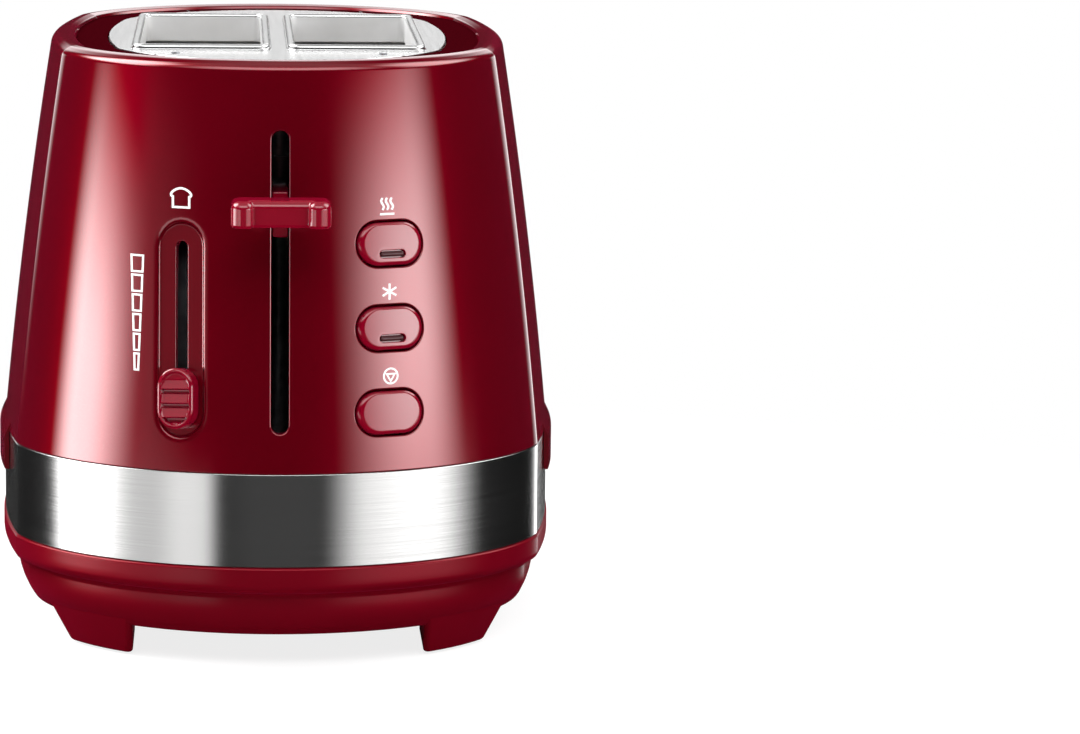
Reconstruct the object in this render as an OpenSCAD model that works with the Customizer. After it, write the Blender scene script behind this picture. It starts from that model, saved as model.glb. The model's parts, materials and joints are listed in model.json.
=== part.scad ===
// Two-slot toaster: tapered painted shell, steel band, footed base, sprung bread carriage,
// browning slider, three push buttons and a crumb tray that draws out at the back.
// Millimetres. The front faces -Y, the right side is +X and up is +Z.

/* [Body] */
// Width across the sides at the steel band
body_w = 181; // [165:1:200]
// Length from front face to back face at the steel band
body_l = 288; // [265:1:320]
// Height from the table to the crest of the top rim
body_h = 190; // [175:1:215]
// Distance of each upright crease in from the widest point of the side
face_inset = 6.75; // [4:0.25:10]
// Depth of the curve of the front and back faces
end_sag = 63; // [50:0.5:70]
// Squareness of the sides in plan
side_power = 2; // [1.5:0.25:4]
// Wall thickness of the moulded pieces
wall = 3; // [2.25:0.25:4]
// Lean of the walls just above the band, in degrees
draft = 5.2; // [3:0.1:6]
// Radius of the upright bow of the walls
bow_r = 1860; // [1200:10:2600]

/* [Top rim] */
// Outer rounding of the rim
rim_r = 2; // [1.5:0.25:4]
// Width of the flat crest of the rim
rim_flat = 5.5; // [4:0.5:7]
// Height of the rim above the ledge that it frames
rim_drop = 1.5; // [1:0.25:3]
// from the wall to the edge of the top plate
top_margin = 19; // [16:0.5:22]
// Thickness of the ledge
ledge_t = 2; // [1.5:0.25:3]

/* [Band and base] */
// Height of the underside of the base above the table
leg_h = 10; // [8:0.5:10.5]
// Thickness of the floor of the base
floor_t = 2.5; // [2:0.25:3.5]
// Height of the lower edge of the band
band_z = 32.5; // [30:0.5:36]
// Height of the band
band_h = 29.5; // [24:0.5:36]
// Thickness of the band
band_t = 1; // [0.6:0.1:1.4]
// How far the base ledge stands out past the band
base_proud = 0.5; // [0.3:0.1:2]
// Height of the step under the base ledge
step_z = 23.5; // [23:0.25:25]
// Depth of the step under the base ledge
step_in = 4; // [2.5:0.1:5]
// Tuck of the bowl at its lowest edge
bowl_in = 8; // [6:0.5:11]
// Distance from the middle to the inner side of a leg
leg_x = 46; // [42:0.5:50]
// Width of a leg
leg_w = 26; // [22:0.5:27]
// Slant of the outer side of a leg
leg_slant = 6.5; // [2:0.5:8]
// Radial thickness of a leg
leg_t = 14; // [12:0.5:16]
// Radius of a foot pad
pad_r = 5; // [3.5:0.25:5.5]
// Height of a foot pad
pad_h = 1.5; // [1:0.25:2.5]
// How far a foot pad stands out under its leg
pad_stand = 0.5; // [0.3:0.1:0.8]
// Half length of a side skirt
skirt_y = 62; // [40:1:70]
// Height of a side skirt below the lower edge of the shell
skirt_h = 12; // [6:0.5:18]
// How far a side skirt stands out
skirt_t = 1.6; // [1:0.1:2.5]

/* [Bread slots] */
// Width of one bread slot
slot_w = 39.5; // [32:0.5:41]
// Length of one bread slot
slot_l = 134; // [120:1:145]
// Width of the bridge between the two slots
bridge_w = 10.5; // [10:0.5:14]
// Depth of the turned-down collar of a slot
collar_h = 8; // [5:0.5:12]
// Thickness of the top plate
plate_t = 0.8; // [0.6:0.1:1.2]

/* [Lever] */
// Distance of the lever below the crest of the rim
lever_drop = 45.5; // [42:0.5:52]
// Travel of the lever down to its latch
lever_down = 60; // [50:1:61]
// Travel of the lever up for small slices
lever_up = 15.5; // [6:0.5:17]
// Width of the upright slot of the lever
lever_slot_w = 5.5; // [5:0.25:8]
// Width of the lever knob
knob_w = 30.7; // [24:0.1:38]
// Height of the lever knob
knob_h = 7.5; // [6:0.25:12]
// Depth of the lever knob, front to back
knob_d = 17; // [13:0.5:22]
// Depth of the finger dish in the lever knob
dish_d = 3.5; // [2:0.25:5]
// Thickness of the lever stem
stem_t = 4; // [3:0.25:4.5]
// Height of the lever stem
stem_h = 16; // [12:0.5:18]
// Radius of the guide rod of the carriage
rod_r = 3; // [2:0.25:4]

/* [Browning slider] */
// Distance of the slider to the left of the middle
slider_x = 31.1; // [28:0.1:34]
// Height of the middle of the slider above the band
slider_rise = 44; // [42:0.2:48]
// Width of the sunk track
track_w = 15; // [13:0.5:16]
// Length of the sunk track
track_l = 66.7; // [64:0.1:70]
// Depth of the sunk track
track_d = 1.2; // [0.6:0.1:1.5]
// Width of the slot in the track
track_slot_w = 3.9; // [3.5:0.1:5]
// Width of the slider thumb
thumb_w = 12; // [10:0.25:12.5]
// Height of the slider thumb
thumb_h = 19; // [15:0.1:20]
// How far the slider thumb stands out of its track
thumb_d = 5.5; // [4:0.25:8]

/* [Buttons] */
// Distance of the buttons to the right of the middle
button_x = 34.6; // [32:0.2:38]
// Height of the middle button above the band
button_rise = 44.5; // [42:0.1:47]
// Distance between neighbouring buttons
button_pitch = 26.3; // [24:0.1:28]
// Width of a button opening
button_w = 23.5; // [20:0.1:25]
// Height of a button opening
button_h = 14.6; // [12:0.1:16]
// How far a button stands out
button_proud = 1.2; // [0.6:0.1:2.5]
// Travel of a button
button_travel = 1.5; // [0.8:0.1:2]
// Gap around a button
button_fit = 0.6; // [0.3:0.05:0.8]
// Width of an indicator lens
lens_w = 9; // [6:0.25:10]
// Height of an indicator lens
lens_h = 2.4; // [1.6:0.1:2.8]

/* [Chassis] */
// Thickness of the chassis sheet
sheet_t = 1; // [0.8:0.1:1.4]
// Gap between a slot end and its chassis plate
end_gap = 8; // [6:0.5:10]
// Distance from a slot edge to the middle of its guard
guard_gap = 2; // [1.6:0.1:2.4]
// Distance from a guard to the middle of its heater board
heater_gap = 4; // [3.5:0.1:5]
// Distance from an outer heater board to its reflector
reflector_gap = 6; // [4:0.5:7]
// Thickness of a heater board
mica_t = 1; // [0.6:0.1:1.4]
// Radius of a guard wire
wire_r = 0.8; // [0.6:0.05:1]
// Rest height of the bread racks
rack_z = 122; // [118:0.5:126]

/* [Crumb tray] */
// Width of the crumb tray
tray_w = 92; // [80:0.5:95]
// Height of the crumb tray
tray_h = 8.5; // [6:0.25:9]
// Thickness of the crumb tray sheet
tray_t = 0.8; // [0.6:0.1:1.2]
// Width of the pull lip on the tray handle
lip_w = 34; // [20:1:50]
// How far the pull lip stands out past the band
lip_out = 3; // [1:0.5:8]

/* [Cord inlet] */
// Place of the cord gland between the tray opening and the right side, as a share
gland_share = 0.28; // [0.26:0.01:0.32]
// Height of the cord gland
gland_z = 18.2; // [18.1:0.05:18.4]
// Outer radius of the cord gland
gland_r = 4.6; // [4.4:0.05:4.8]
// Radius of the cord bore
cord_r = 3.3; // [2.8:0.05:3.5]

/* [Fits and screws] */
// Gap between pieces that sit beside each other
fit = 0.3; // [0.25:0.05:0.4]
// Gap between a shaft and the hole that runs on it
running_fit = 0.05; // [0.02:0.01:0.1]
// Radius of a screw shank
screw_r = 1.4; // [1.1:0.05:1.5]
// Radius of a screw head
head_r = 2.7; // [2.2:0.05:2.9]
// Height of a screw head
head_h = 1.8; // [1.2:0.1:2.2]

/* [Hidden] */
$fn = 40;

RED = [0.55, 0.02, 0.07];
BLACK = [0.06, 0.06, 0.06];
STEEL = [0.75, 0.76, 0.78];
ZINC = [0.62, 0.63, 0.65];
MICA = [0.72, 0.66, 0.55];
GREEN = [0.1, 0.35, 0.2];
COPPER = [0.72, 0.42, 0.22];

eps = 0.01;
half_w = body_w / 2;
half_l = body_l / 2;
band_top = band_z + band_h;

// Plan outline: a round end face, then a side that bulges towards the middle
face_half = half_w - face_inset;
end_r = (face_half * face_half + end_sag * end_sag) / (2 * end_sag);
crease_a = asin(face_half / end_r);
crease_y = half_l - end_sag;
end_steps = 10;
side_steps = 6;
quarter = concat(
    [for (i = [0 : end_steps]) end_point(crease_a * i / end_steps)],
    [for (i = [1 : side_steps]) side_point(1 - i / side_steps)]
);
quarter_last = len(quarter) - 1;
outline = concat(
    [for (i = [0 : quarter_last]) quarter[i]],
    [for (i = [1 : quarter_last]) [quarter[quarter_last - i].x, -quarter[quarter_last - i].y]],
    [for (i = [1 : quarter_last]) [-quarter[i].x, -quarter[i].y]],
    [for (i = [1 : quarter_last - 1]) [-quarter[quarter_last - i].x, quarter[quarter_last - i].y]]
);
outline_n = len(outline);

// Top rim and its ledge
fillet_z = body_h - rim_r;
rim_in = taper(fillet_z) + rim_r + rim_flat;
ledge_z = body_h - rim_drop;
margin_drop = 5;
ledge_in = taper(body_h - margin_drop) + top_margin;
ledge_under = ledge_z - ledge_t;
screw_l = 9;
wall_steps = 8;
round_steps = 4;

// Band seat and shell skirt
seat_in = band_t + fit / 2;
seat_back = seat_in + wall;

// Base
floor_z = leg_h + floor_t;
ledge_low = step_z + 3;
bowl_steps = 6;
bowl_power = 3.5;
leg_top_in = bowl_in - 1.5;
leg_low_in = bowl_in + 2;
leg_y = -end_y(leg_x + leg_w, leg_top_in) - leg_t;
leg_mid_x = leg_x + leg_w / 2 - 2;
leg_mid_in = leg_low_in + leg_t / 2;
post_side = 18;
post_x = half_w - post_side;
post_y = 45;
post_r = 4.5;
post_rise = 14;
post_seat = floor_z + post_rise;
lug_low = band_z + 7;
lug_h = 12;
lug_w = 14;
vent_w = 3;
vent_l = 16;
vent_pitch = 9;
vent_n = 9;
vent_side = 28.5;
vent_x = half_w - vent_side;
block_w = 14;
block_l = 24;
block_h = 13;
block_y = 62;
block_hole = 6;
block_hole_z = 5;

// Bread wells
slot_x = bridge_w / 2 + slot_w / 2;
plate_top = ledge_z - fit;
plate_under = plate_top - plate_t;
collar_low = plate_top - collar_h;
guard_out = slot_x + slot_w / 2 + guard_gap;
guard_in = slot_x - slot_w / 2 - guard_gap;
heater_out = guard_out + heater_gap;
reflector_x = heater_out + reflector_gap;
plate_half = reflector_x + 4;
well_y = slot_l / 2 + end_gap;
chassis_z = band_z + 1;
chassis_top = ledge_under - 1;
well_gap = 16;
well_low = chassis_z + well_gap;
well_top = collar_low - 4;
flange_d = 24;
flange_post_side = 7;
flange_post_x = plate_half - flange_post_side;
flange_post_gap = 13;
flange_post_y = well_y + sheet_t + flange_post_gap;
top_tab_w = 72;
rivet_x = 33;
rivet_r = 0.8;
rivet_head_r = 1.3;
rivet_head_h = 0.4;

// Carriage
lever_z = body_h - lever_drop;
rod_gap = 14;
rod_y = -(well_y + sheet_t + rod_gap);
bush_r = rod_r + 3;
bush_h = 24;
cross_t = 2;
cross_y = rod_y + bush_r - 1;
cross_back = cross_y + cross_t;
cross_h = 12;
cross_top = rack_z + 2;
cross_low = cross_top - cross_h;
cross_half = slot_x + 8;
neck_w = 5;
neck_slot_w = 7;
rack_t = 1.2;
rack_w = 12;
rack_l = slot_l + 10;
prong_w = slot_w - 10;
prong_t = 2.5;
prong_n = 7;
tab_z = plate_under - 6;
tab_t = 1.2;
tab_half = 8;
tab_y = rod_y - 6;
spring_x = 11;
spring_r = 3.2;
spring_wire = 0.5;
spring_turns = 8;
spring_seg = 10;
spring_side = 5;
spring_low = lever_z + bush_h / 2;
armature_t = 3;
armature_w = 16;
armature_d = 12;
armature_x = -slot_x + 4;
armature_low = cross_low - armature_t;
latch_top = armature_low - lever_down - fit;
coil_r = 6;
core_r = 2.5;
coil_low = chassis_z + sheet_t;
coil_h = latch_top - coil_low - 2;

// Lever
stem_up = stem_h * 0.44;
stem_dn = stem_h - stem_up;
slot_end = 1;
lever_slot_top = lever_z + lever_up + stem_up + slot_end;
lever_slot_low = lever_z - lever_down - stem_dn - slot_end;
knob_back = -(half_l + 1.5);
knob_front = knob_back - knob_d;
stem_gap = 22;
stem_back = rod_y - stem_gap;
knob_round = 2.5;
lobe_w = 7;

// Controls on the front face
button_z = band_top + button_rise;
slider_z = band_top + slider_rise;
cap_w = button_w - 2 * button_fit;
cap_h = button_h - 2 * button_fit;
cap_low = -7;
cap_flange = 1;
cap_flange_t = 1.2;
plunger_r = 2;
plunger_low = -10;
plunger_y = 2;
lens_y = -3.2;
lens_low = -6;
switch_top = plunger_low - button_travel - 0.1;
switch_h = 4;
switch_w = 6;
board_z = switch_top - switch_h;
board_t = 1.6;
board_w = 30;
board_h = 92;
boss_r = 2.6;
boss_side = 4;
boss_end = 5;
boss_x = board_w / 2 - boss_side;
boss_y = board_h / 2 - boss_end;
boss_in = -2.7;
led_r = 1.4;
led_h = 4.5;
thumb_rest = -(track_l - thumb_h) / 2 + 2.5;
track_slot_l = track_l - 11.6;
thumb_low = -track_d - 0.2 + fit;
thumb_top = thumb_low + thumb_d;
thumb_neck_w = track_slot_w - 2 * button_fit;
thumb_neck_h = 8;
thumb_foot_w = 7;
thumb_foot_h = 12;
thumb_foot_top = -6.5;
thumb_foot_low = -8;
groove_n = 3;
groove_w = 1.4;
groove_d = 0.8;
groove_pitch = 4;
pot_top = -9;
pot_w = 9;
pot_l = 66;
pot_slot = 3;
pot_depth = 4.5;
tab_w = 1.6;
tab_h = 5;
tab_low = pot_top - 3;

// Crumb tray
tray_z = floor_z + fit;
tray_front = -(well_y - 3);
tray_gap_w = tray_w + 4;
tray_gap_top = floor_z + 10.5;
handle_w = tray_gap_w - 2 * fit;
handle_low = floor_z + fit;
handle_top = tray_gap_top - fit;
handle_t = 3;
lip_h = 3;
lip_z = (handle_low + handle_top) / 2;
tray_back = -end_y(tray_w / 2, bowl_in + handle_t) - fit;
handle_reach = 42;
handle_deep = half_l - handle_reach;

// Cord gland
gland_x = tray_gap_w / 2 + (half_w - tray_gap_w / 2) * gland_share;
gland_a = end_angle(gland_x, bowl_tuck(gland_z));
gland_out = 7;
gland_in = 8;
gland_flange = 0.8;
gland_flange_t = 2;

// The lever reaches further than the tray lip, so the frame is centred between them
frame_y = (knob_d + 1.5 - lip_out) / 2;

function end_point(a) = [end_r * sin(a), -(half_l - end_r + end_r * cos(a))];
function side_point(t) = [half_w - face_inset * pow(t, side_power), -crease_y * t];
function scaled(p, inset) = [p.x * (half_w - inset) / half_w, p.y * (half_l - inset) / half_l];
function plan(inset) = [for (p = outline) scaled(p, inset)];

// Inset of the outer wall at a height above the band
function taper(z) = (z - band_top) * tan(draft) + pow(z - band_top, 2) / (2 * bow_r);
function taper_slope(z) = tan(draft) + (z - band_top) / bow_r;

// Inset of the bowl of the base at a height below the step
function bowl_tuck(z) =
    step_in + (bowl_in - step_in) * pow(max(0, 1 - (z - leg_h) / (step_z - leg_h)), bowl_power);

// Where the end face lies at a sideways distance, and how it faces there
function end_angle(x, inset) = asin(x * half_w / (half_w - inset) / end_r);
function end_y(x, inset) = end_point(end_angle(x, inset)).y * (half_l - inset) / half_l;
function face_turn(x, z) =
    atan(tan(end_angle(x, taper(z))) * (half_l - taper(z)) / half_l * half_w / (half_w - taper(z)));
function face_tilt(z) = atan(taper_slope(z));

// Sideways shift that keeps a row upright on the leaning face
button_lean = sin(face_tilt(button_z)) * tan(face_turn(button_x, button_z));
slider_roll = atan(sin(face_tilt(slider_z)) * tan(face_turn(slider_x, slider_z)));

module at_face(x, z) {
    translate([x, end_y(x, taper(z)), z])
        rotate([90 - face_tilt(z), 0, face_turn(x, z)])
            children();
}

module at_buttons() {
    at_face(button_x, button_z)
        children();
}

module at_button(row) {
    at_buttons()
        translate([row * button_pitch * button_lean, row * button_pitch, 0])
            children();
}

module at_slider() {
    at_face(-slider_x, slider_z)
        rotate([0, 0, slider_roll])
            children();
}

module four_ways() {
    for (sx = [-1, 1], sy = [-1, 1])
        scale([sx, sy, 1])
            children();
}

function ring_at(pi) = [for (p = plan(pi[0])) [p.x, p.y, pi[1]]];
function ring_points(profile) = [for (pi = profile) each ring_at(pi)];
function ring_faces(a, b) = [
    for (j = [0 : outline_n - 1], k = [0, 1])
        let (j2 = (j + 1) % outline_n)
            k == 0
                ? [a * outline_n + j, b * outline_n + j, b * outline_n + j2]
                : [a * outline_n + j, b * outline_n + j2, a * outline_n + j2]
];

// A closed section of [inset, height] carried around the plan outline
module ring_solid(profile) {
    n = len(profile);
    polyhedron(
        points = ring_points(profile),
        faces = [for (i = [0 : n - 1]) each ring_faces(i, (i + 1) % n)],
        convexity = 8
    );
}

// A filled form through levels of [inset, height]
module loft_solid(profile) {
    n = len(profile);
    polyhedron(
        points = ring_points(profile),
        faces = concat(
            [[for (j = [0 : outline_n - 1]) j]],
            [for (i = [0 : n - 2]) each ring_faces(i, i + 1)],
            [[for (j = [0 : outline_n - 1]) n * outline_n - 1 - j]]
        ),
        convexity = 4
    );
}

module stadium(w, h) {
    across = abs(w - h) / 2;
    r = min(w, h) / 2;
    square([w > h ? w - h : w, w > h ? h : h - w], center = true);
    for (s = [-1, 1])
        translate(w > h ? [s * across, 0] : [0, s * across])
            circle(r);
}

module box(x0, x1, y0, y1, z0, z1) {
    translate([x0, y0, z0])
        cube([x1 - x0, y1 - y0, z1 - z0]);
}

module prism(z0, z1) {
    translate([0, 0, z0])
        linear_extrude(z1 - z0)
            children();
}

module rod(x, y, z0, z1, r) {
    translate([x, y, z0])
        cylinder(h = z1 - z0, r = r);
}

// A screw with its head seated at the origin and its shank along -Z
module screw(length) {
    cylinder(h = head_h, r = head_r);
    translate([0, 0, -length])
        cylinder(h = length + eps, r = screw_r);
}

module body_shell() {
    outer = concat(
        [[seat_in, band_z], [seat_in, band_top], [0, band_top]],
        [
            for (i = [1 : wall_steps])
                let (z = band_top + (fillet_z - band_top) * i / wall_steps)
                    [taper(z), z]
        ],
        [
            for (i = [1 : round_steps])
                let (a = 90 * i / round_steps)
                    [rim_in - rim_flat - rim_r * cos(a), fillet_z + rim_r * sin(a)]
        ],
        [
            [rim_in, body_h],
            [rim_in + rim_drop * 0.7, body_h - rim_drop * 0.3],
            [rim_in + rim_drop, ledge_z],
            [ledge_in, ledge_z],
            [ledge_in, ledge_under]
        ]
    );
    inner = concat(
        [
            for (i = [0 : wall_steps - 1])
                let (z = ledge_under + (band_top - ledge_under) * i / wall_steps)
                    [taper(z) + wall, z]
        ],
        [[seat_back, band_top - wall], [seat_back, band_z]]
    );
    color(RED)
        difference() {
            union() {
                ring_solid(concat(outer, inner));
                side_skirts();
                shell_lugs();
                board_bosses();
            }
            lever_opening();
            button_openings();
            slider_openings();
            board_pilots();
            for (sx = [-1, 1], sy = [-1, 1])
                rod(sx * post_x, sy * post_y, lug_low - 1, lug_low + lug_h - 2, screw_r + 0.1);
        }
}

module side_skirts() {
    top = band_top + 4;
    for (s = [-1, 1])
        intersection() {
            ring_solid([
                [-fit / 2, band_top - skirt_h],
                [-skirt_t - fit / 2, band_top - skirt_h],
                [-skirt_t - fit / 2, band_top],
                [0.5, top],
                [wall / 2, top],
                [wall / 2, band_top + fit / 2],
                [-fit / 2, band_top + fit / 2]
            ]);
            box(
                s > 0 ? 0 : -body_w, s > 0 ? body_w : 0,
                -skirt_y, skirt_y, band_top - skirt_h - 1, top + 1
            );
        }
}

module shell_lugs() {
    for (sx = [-1, 1], sy = [-1, 1])
        intersection() {
            loft_solid([[seat_in + 1, lug_low], [seat_in + 1, lug_low + lug_h]]);
            translate([sx * (post_x + lug_w), sy * post_y, lug_low + lug_h / 2])
                cube([lug_w * 3, lug_w, lug_h], center = true);
        }
}

module lever_opening() {
    mid = (lever_slot_top + lever_slot_low) / 2;
    translate([0, -half_l + end_sag, mid])
        rotate([90, 0, 0])
            linear_extrude(end_sag + 1)
                stadium(lever_slot_w, lever_slot_top - lever_slot_low);
}

module button_openings() {
    for (row = [-1 : 1])
        at_button(row)
            prism(-wall * 3, wall * 2)
                stadium(button_w, button_h);
}

module slider_openings() {
    at_slider() {
        prism(-track_d - 0.2, wall * 2)
            stadium(track_w, track_l);
        prism(-wall * 3, wall)
            stadium(track_slot_w, track_slot_l);
    }
}

module at_bosses() {
    for (sx = [-1, 1], sy = [-1, 1])
        translate([sx * boss_x, sy * boss_y, 0])
            children();
}

module board_bosses() {
    at_buttons()
        at_bosses()
            rod(0, 0, board_z, boss_in, boss_r);
    at_slider()
        at_bosses()
            rod(0, 0, board_z, boss_in, boss_r);
}

module board_pilots() {
    at_buttons()
        at_bosses()
            rod(0, 0, board_z - 1, board_z + 9, screw_r + 0.1);
    at_slider()
        at_bosses()
            rod(0, 0, board_z - 1, board_z + 9, screw_r + 0.1);
}

module steel_band() {
    color(STEEL)
        prism(band_z + fit / 3, band_top - fit / 3)
            difference() {
                polygon(plan(0));
                polygon(plan(band_t));
            }
}

function base_outer() = concat(
    [
        for (i = [0 : bowl_steps])
            let (z = leg_h + (step_z - leg_h) * i / bowl_steps)
                [bowl_tuck(z), z]
    ],
    [
        for (i = [0 : round_steps])
            let (a = 90 * i / round_steps)
                [
                    step_in - 1 - (step_in - 1 + base_proud) * sin(a),
                    step_z + 0.4 + (ledge_low - step_z) * (1 - cos(a))
                ]
    ],
    [[-base_proud, band_z - 0.6], [-base_proud + 0.6, band_z]]
);

function base_inner() = concat(
    [
        for (i = [0 : bowl_steps])
            let (z = floor_z + (step_z - floor_z) * i / bowl_steps)
                [bowl_tuck(z) + wall, z]
    ],
    [[seat_back + 0.5, ledge_low], [seat_back + 0.5, band_z + 1]]
);

module legs() {
    ring = [
        [leg_low_in, pad_stand], [leg_top_in, leg_h + 1],
        [leg_low_in + leg_t, leg_h + 1], [leg_low_in + leg_t, pad_stand]
    ];
    difference() {
        intersection() {
            ring_solid(ring);
            four_ways()
                translate([0, half_l, 0])
                    rotate([90, 0, 0])
                        linear_extrude(half_l - leg_y)
                            leg_front();
        }
        at_pads()
            rod(0, 0, 0, pad_h, pad_r + fit / 3);
    }
}

module leg_front() {
    polygon([
        [leg_x, 0], [leg_x + leg_w - leg_slant, 0],
        [leg_x + leg_w, leg_h + 1], [leg_x, leg_h + 1]
    ]);
}

module at_pads() {
    for (sx = [-1, 1], sy = [-1, 1])
        translate([sx * leg_mid_x, -sy * end_y(leg_mid_x, leg_mid_in), 0])
            children();
}

module base_housing() {
    color(RED)
        difference() {
            union() {
                difference() {
                    loft_solid(base_outer());
                    loft_solid(base_inner());
                }
                legs();
                for (sx = [-1, 1], sy = [-1, 1]) {
                    rod(sx * post_x, sy * post_y, leg_h + 1, lug_low, post_r);
                    rod(sx * flange_post_x, sy * flange_post_y, leg_h + 1, chassis_z, post_r);
                }
            }
            for (sx = [-1, 1], sy = [-1, 1]) {
                rod(sx * post_x, sy * post_y, 0, post_seat, head_r + fit);
                rod(sx * post_x, sy * post_y, 0, lug_low + 1, screw_r + fit);
                rod(sx * flange_post_x, sy * flange_post_y, floor_z, chassis_z + 1, screw_r + 0.1);
            }
            box(-tray_gap_w / 2, tray_gap_w / 2, handle_deep, body_l, floor_z, tray_gap_top);
            at_gland()
                rod(0, 0, -body_l / 4, body_l / 4, gland_r + fit);
            vents();
        }
}

module vents() {
    for (s = [-1, 1], i = [0 : vent_n - 1])
        box(
            s * vent_x - vent_l / 2, s * vent_x + vent_l / 2,
            (i - (vent_n - 1) / 2) * vent_pitch - vent_w / 2,
            (i - (vent_n - 1) / 2) * vent_pitch + vent_w / 2,
            leg_h - 1, floor_z + 1
        );
}

module foot_pads() {
    color(BLACK)
        at_pads()
            rod(0, 0, 0, pad_h, pad_r);
}

module top_plate() {
    color(STEEL)
        difference() {
            union() {
                prism(plate_under, plate_top)
                    polygon(plan(ledge_in + fit));
                for (s = [-1, 1])
                    slot_block(s, plate_t, collar_low, plate_top);
            }
            for (s = [-1, 1])
                slot_block(s, 0, collar_low - 1, plate_top + 1);
            at_plate_rivets()
                rod(0, 0, plate_under - 1, plate_top + 1, rivet_r + 0.1);
        }
}

module slot_block(s, grow, z0, z1) {
    box(
        s * slot_x - slot_w / 2 - grow, s * slot_x + slot_w / 2 + grow,
        -slot_l / 2 - grow, slot_l / 2 + grow, z0, z1
    );
}

module at_plate_rivets() {
    for (sx = [-1, 1], sy = [-1, 1])
        translate([sx * rivet_x, sy * (well_y + sheet_t + 8), 0])
            children();
}

module top_plate_rivets() {
    color(ZINC)
        at_plate_rivets()
            translate([0, 0, plate_top]) {
                cylinder(h = rivet_head_h, r = rivet_head_r);
                rod(0, 0, -plate_t - sheet_t - 1, eps, rivet_r);
            }
}

module end_plate() {
    difference() {
        union() {
            box(-plate_half, plate_half, well_y, well_y + sheet_t, chassis_z, chassis_top);
            box(-top_tab_w / 2, top_tab_w / 2, well_y, well_y + sheet_t, chassis_z, plate_under);
            box(
                -plate_half, plate_half, well_y, well_y + sheet_t + flange_d,
                chassis_z, chassis_z + sheet_t
            );
            box(
                -top_tab_w / 2, top_tab_w / 2, well_y, well_y + sheet_t + 14,
                plate_under - sheet_t, plate_under
            );
        }
        for (s = [-1, 1]) {
            box(
                s * slot_x - neck_slot_w / 2, s * slot_x + neck_slot_w / 2,
                well_y - 1, well_y + sheet_t + 1,
                rack_z - lever_down - 6, rack_z + lever_up + 6
            );
            rod(
                s * flange_post_x, flange_post_y,
                chassis_z - 1, chassis_z + sheet_t + 1, screw_r + fit
            );
            rod(
                s * rivet_x, well_y + sheet_t + 8,
                plate_under - sheet_t - 1, plate_under + 1, rivet_r + 0.1
            );
        }
    }
}

module front_chassis_plate() {
    color(ZINC)
        difference() {
            union() {
                scale([1, -1, 1])
                    end_plate();
                box(
                    -tab_half, tab_half + spring_x, tab_y, -well_y,
                    tab_z, tab_z + tab_t
                );
            }
            rod(0, rod_y, chassis_z - 1, tab_z + tab_t + 1, rod_r + 2 * running_fit);
        }
}

module rear_chassis_plate() {
    color(ZINC)
        end_plate();
}

module reflector(s) {
    color(STEEL)
        box(
            s * reflector_x - sheet_t / 3, s * reflector_x + sheet_t / 3,
            -well_y, well_y, well_low - 6, chassis_top
        );
}

module left_reflector() {
    reflector(-1);
}

module right_reflector() {
    reflector(1);
}

module heater_board(x) {
    color(MICA)
        box(x - mica_t / 2, x + mica_t / 2, -well_y, well_y, well_low, well_top);
}

module left_heater_board() {
    heater_board(-heater_out);
}

module centre_heater_board() {
    heater_board(0);
}

module right_heater_board() {
    heater_board(heater_out);
}

module heating_ribbons() {
    ribbon_t = 0.4;
    ribbon_h = 1.4;
    rows = 9;
    margin = 10;
    span = (well_top - well_low - 2 * margin) / (rows - 1);
    color(COPPER)
        for (i = [0 : rows - 1])
            for (face = [
                [-heater_out, 1], [0, -1], [0, 1], [heater_out, -1]
            ])
                translate([
                    face[0] + face[1] * (mica_t + ribbon_t) / 2,
                    0, well_low + margin + i * span
                ])
                    cube([ribbon_t, slot_l - 6, ribbon_h], center = true);
}

module guard(x) {
    rails = [well_low + 6, well_top - 4];
    wires = 9;
    for (z = rails)
        box(x - 1, x + 1, -well_y, well_y, z - 1, z + 1);
    for (i = [0 : wires - 1])
        rod(
            x, (i - (wires - 1) / 2) * slot_l / wires,
            rails[0] - 3, rails[1] + 3, wire_r
        );
}

module left_bread_guards() {
    color(STEEL) {
        guard(-guard_out);
        guard(-guard_in);
    }
}

module right_bread_guards() {
    color(STEEL) {
        guard(guard_out);
        guard(guard_in);
    }
}

module guide_rod() {
    color(STEEL)
        rod(0, rod_y, chassis_z, tab_z + tab_t, rod_r);
}

function coil_point(a, b, pitch) =
    let (r = spring_r + spring_wire * cos(b))
        [r * cos(a), r * sin(a), spring_wire + pitch * a / 360 + spring_wire * sin(b)];

module coil(height) {
    pitch = (height - 2 * spring_wire) / spring_turns;
    n = spring_turns * spring_seg;
    m = spring_side;
    polyhedron(
        points = [
            for (i = [0 : n], k = [0 : m - 1])
                coil_point(360 * i / spring_seg, 360 * k / m, pitch)
        ],
        faces = concat(
            [[for (k = [0 : m - 1]) k]],
            [
                for (i = [0 : n - 1], k = [0 : m - 1])
                    let (k2 = (k + 1) % m)
                        each [
                            [i * m + k, (i + 1) * m + k, (i + 1) * m + k2],
                            [i * m + k, (i + 1) * m + k2, i * m + k2]
                        ]
            ],
            [[for (k = [0 : m - 1]) n * m + m - 1 - k]]
        ),
        convexity = 10
    );
}

module lift_spring() {
    color(ZINC)
        translate([spring_x, rod_y, spring_low])
            coil(tab_z - spring_low);
}

module latch_coil() {
    color(COPPER)
        difference() {
            rod(armature_x, rod_y, coil_low, coil_low + coil_h, coil_r);
            rod(armature_x, rod_y, coil_low - 1, coil_low + coil_h + 1, core_r + running_fit);
        }
}

module latch_core() {
    color(ZINC)
        rod(armature_x, rod_y, coil_low, latch_top, core_r);
}

module board() {
    difference() {
        translate([0, 0, board_z - board_t / 2])
            cube([board_w, board_h, board_t], center = true);
        at_bosses()
            rod(0, 0, board_z - board_t - 1, board_z + 1, screw_r + 0.1);
    }
}

module button_board() {
    color(GREEN)
        at_buttons()
            board();
}

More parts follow.
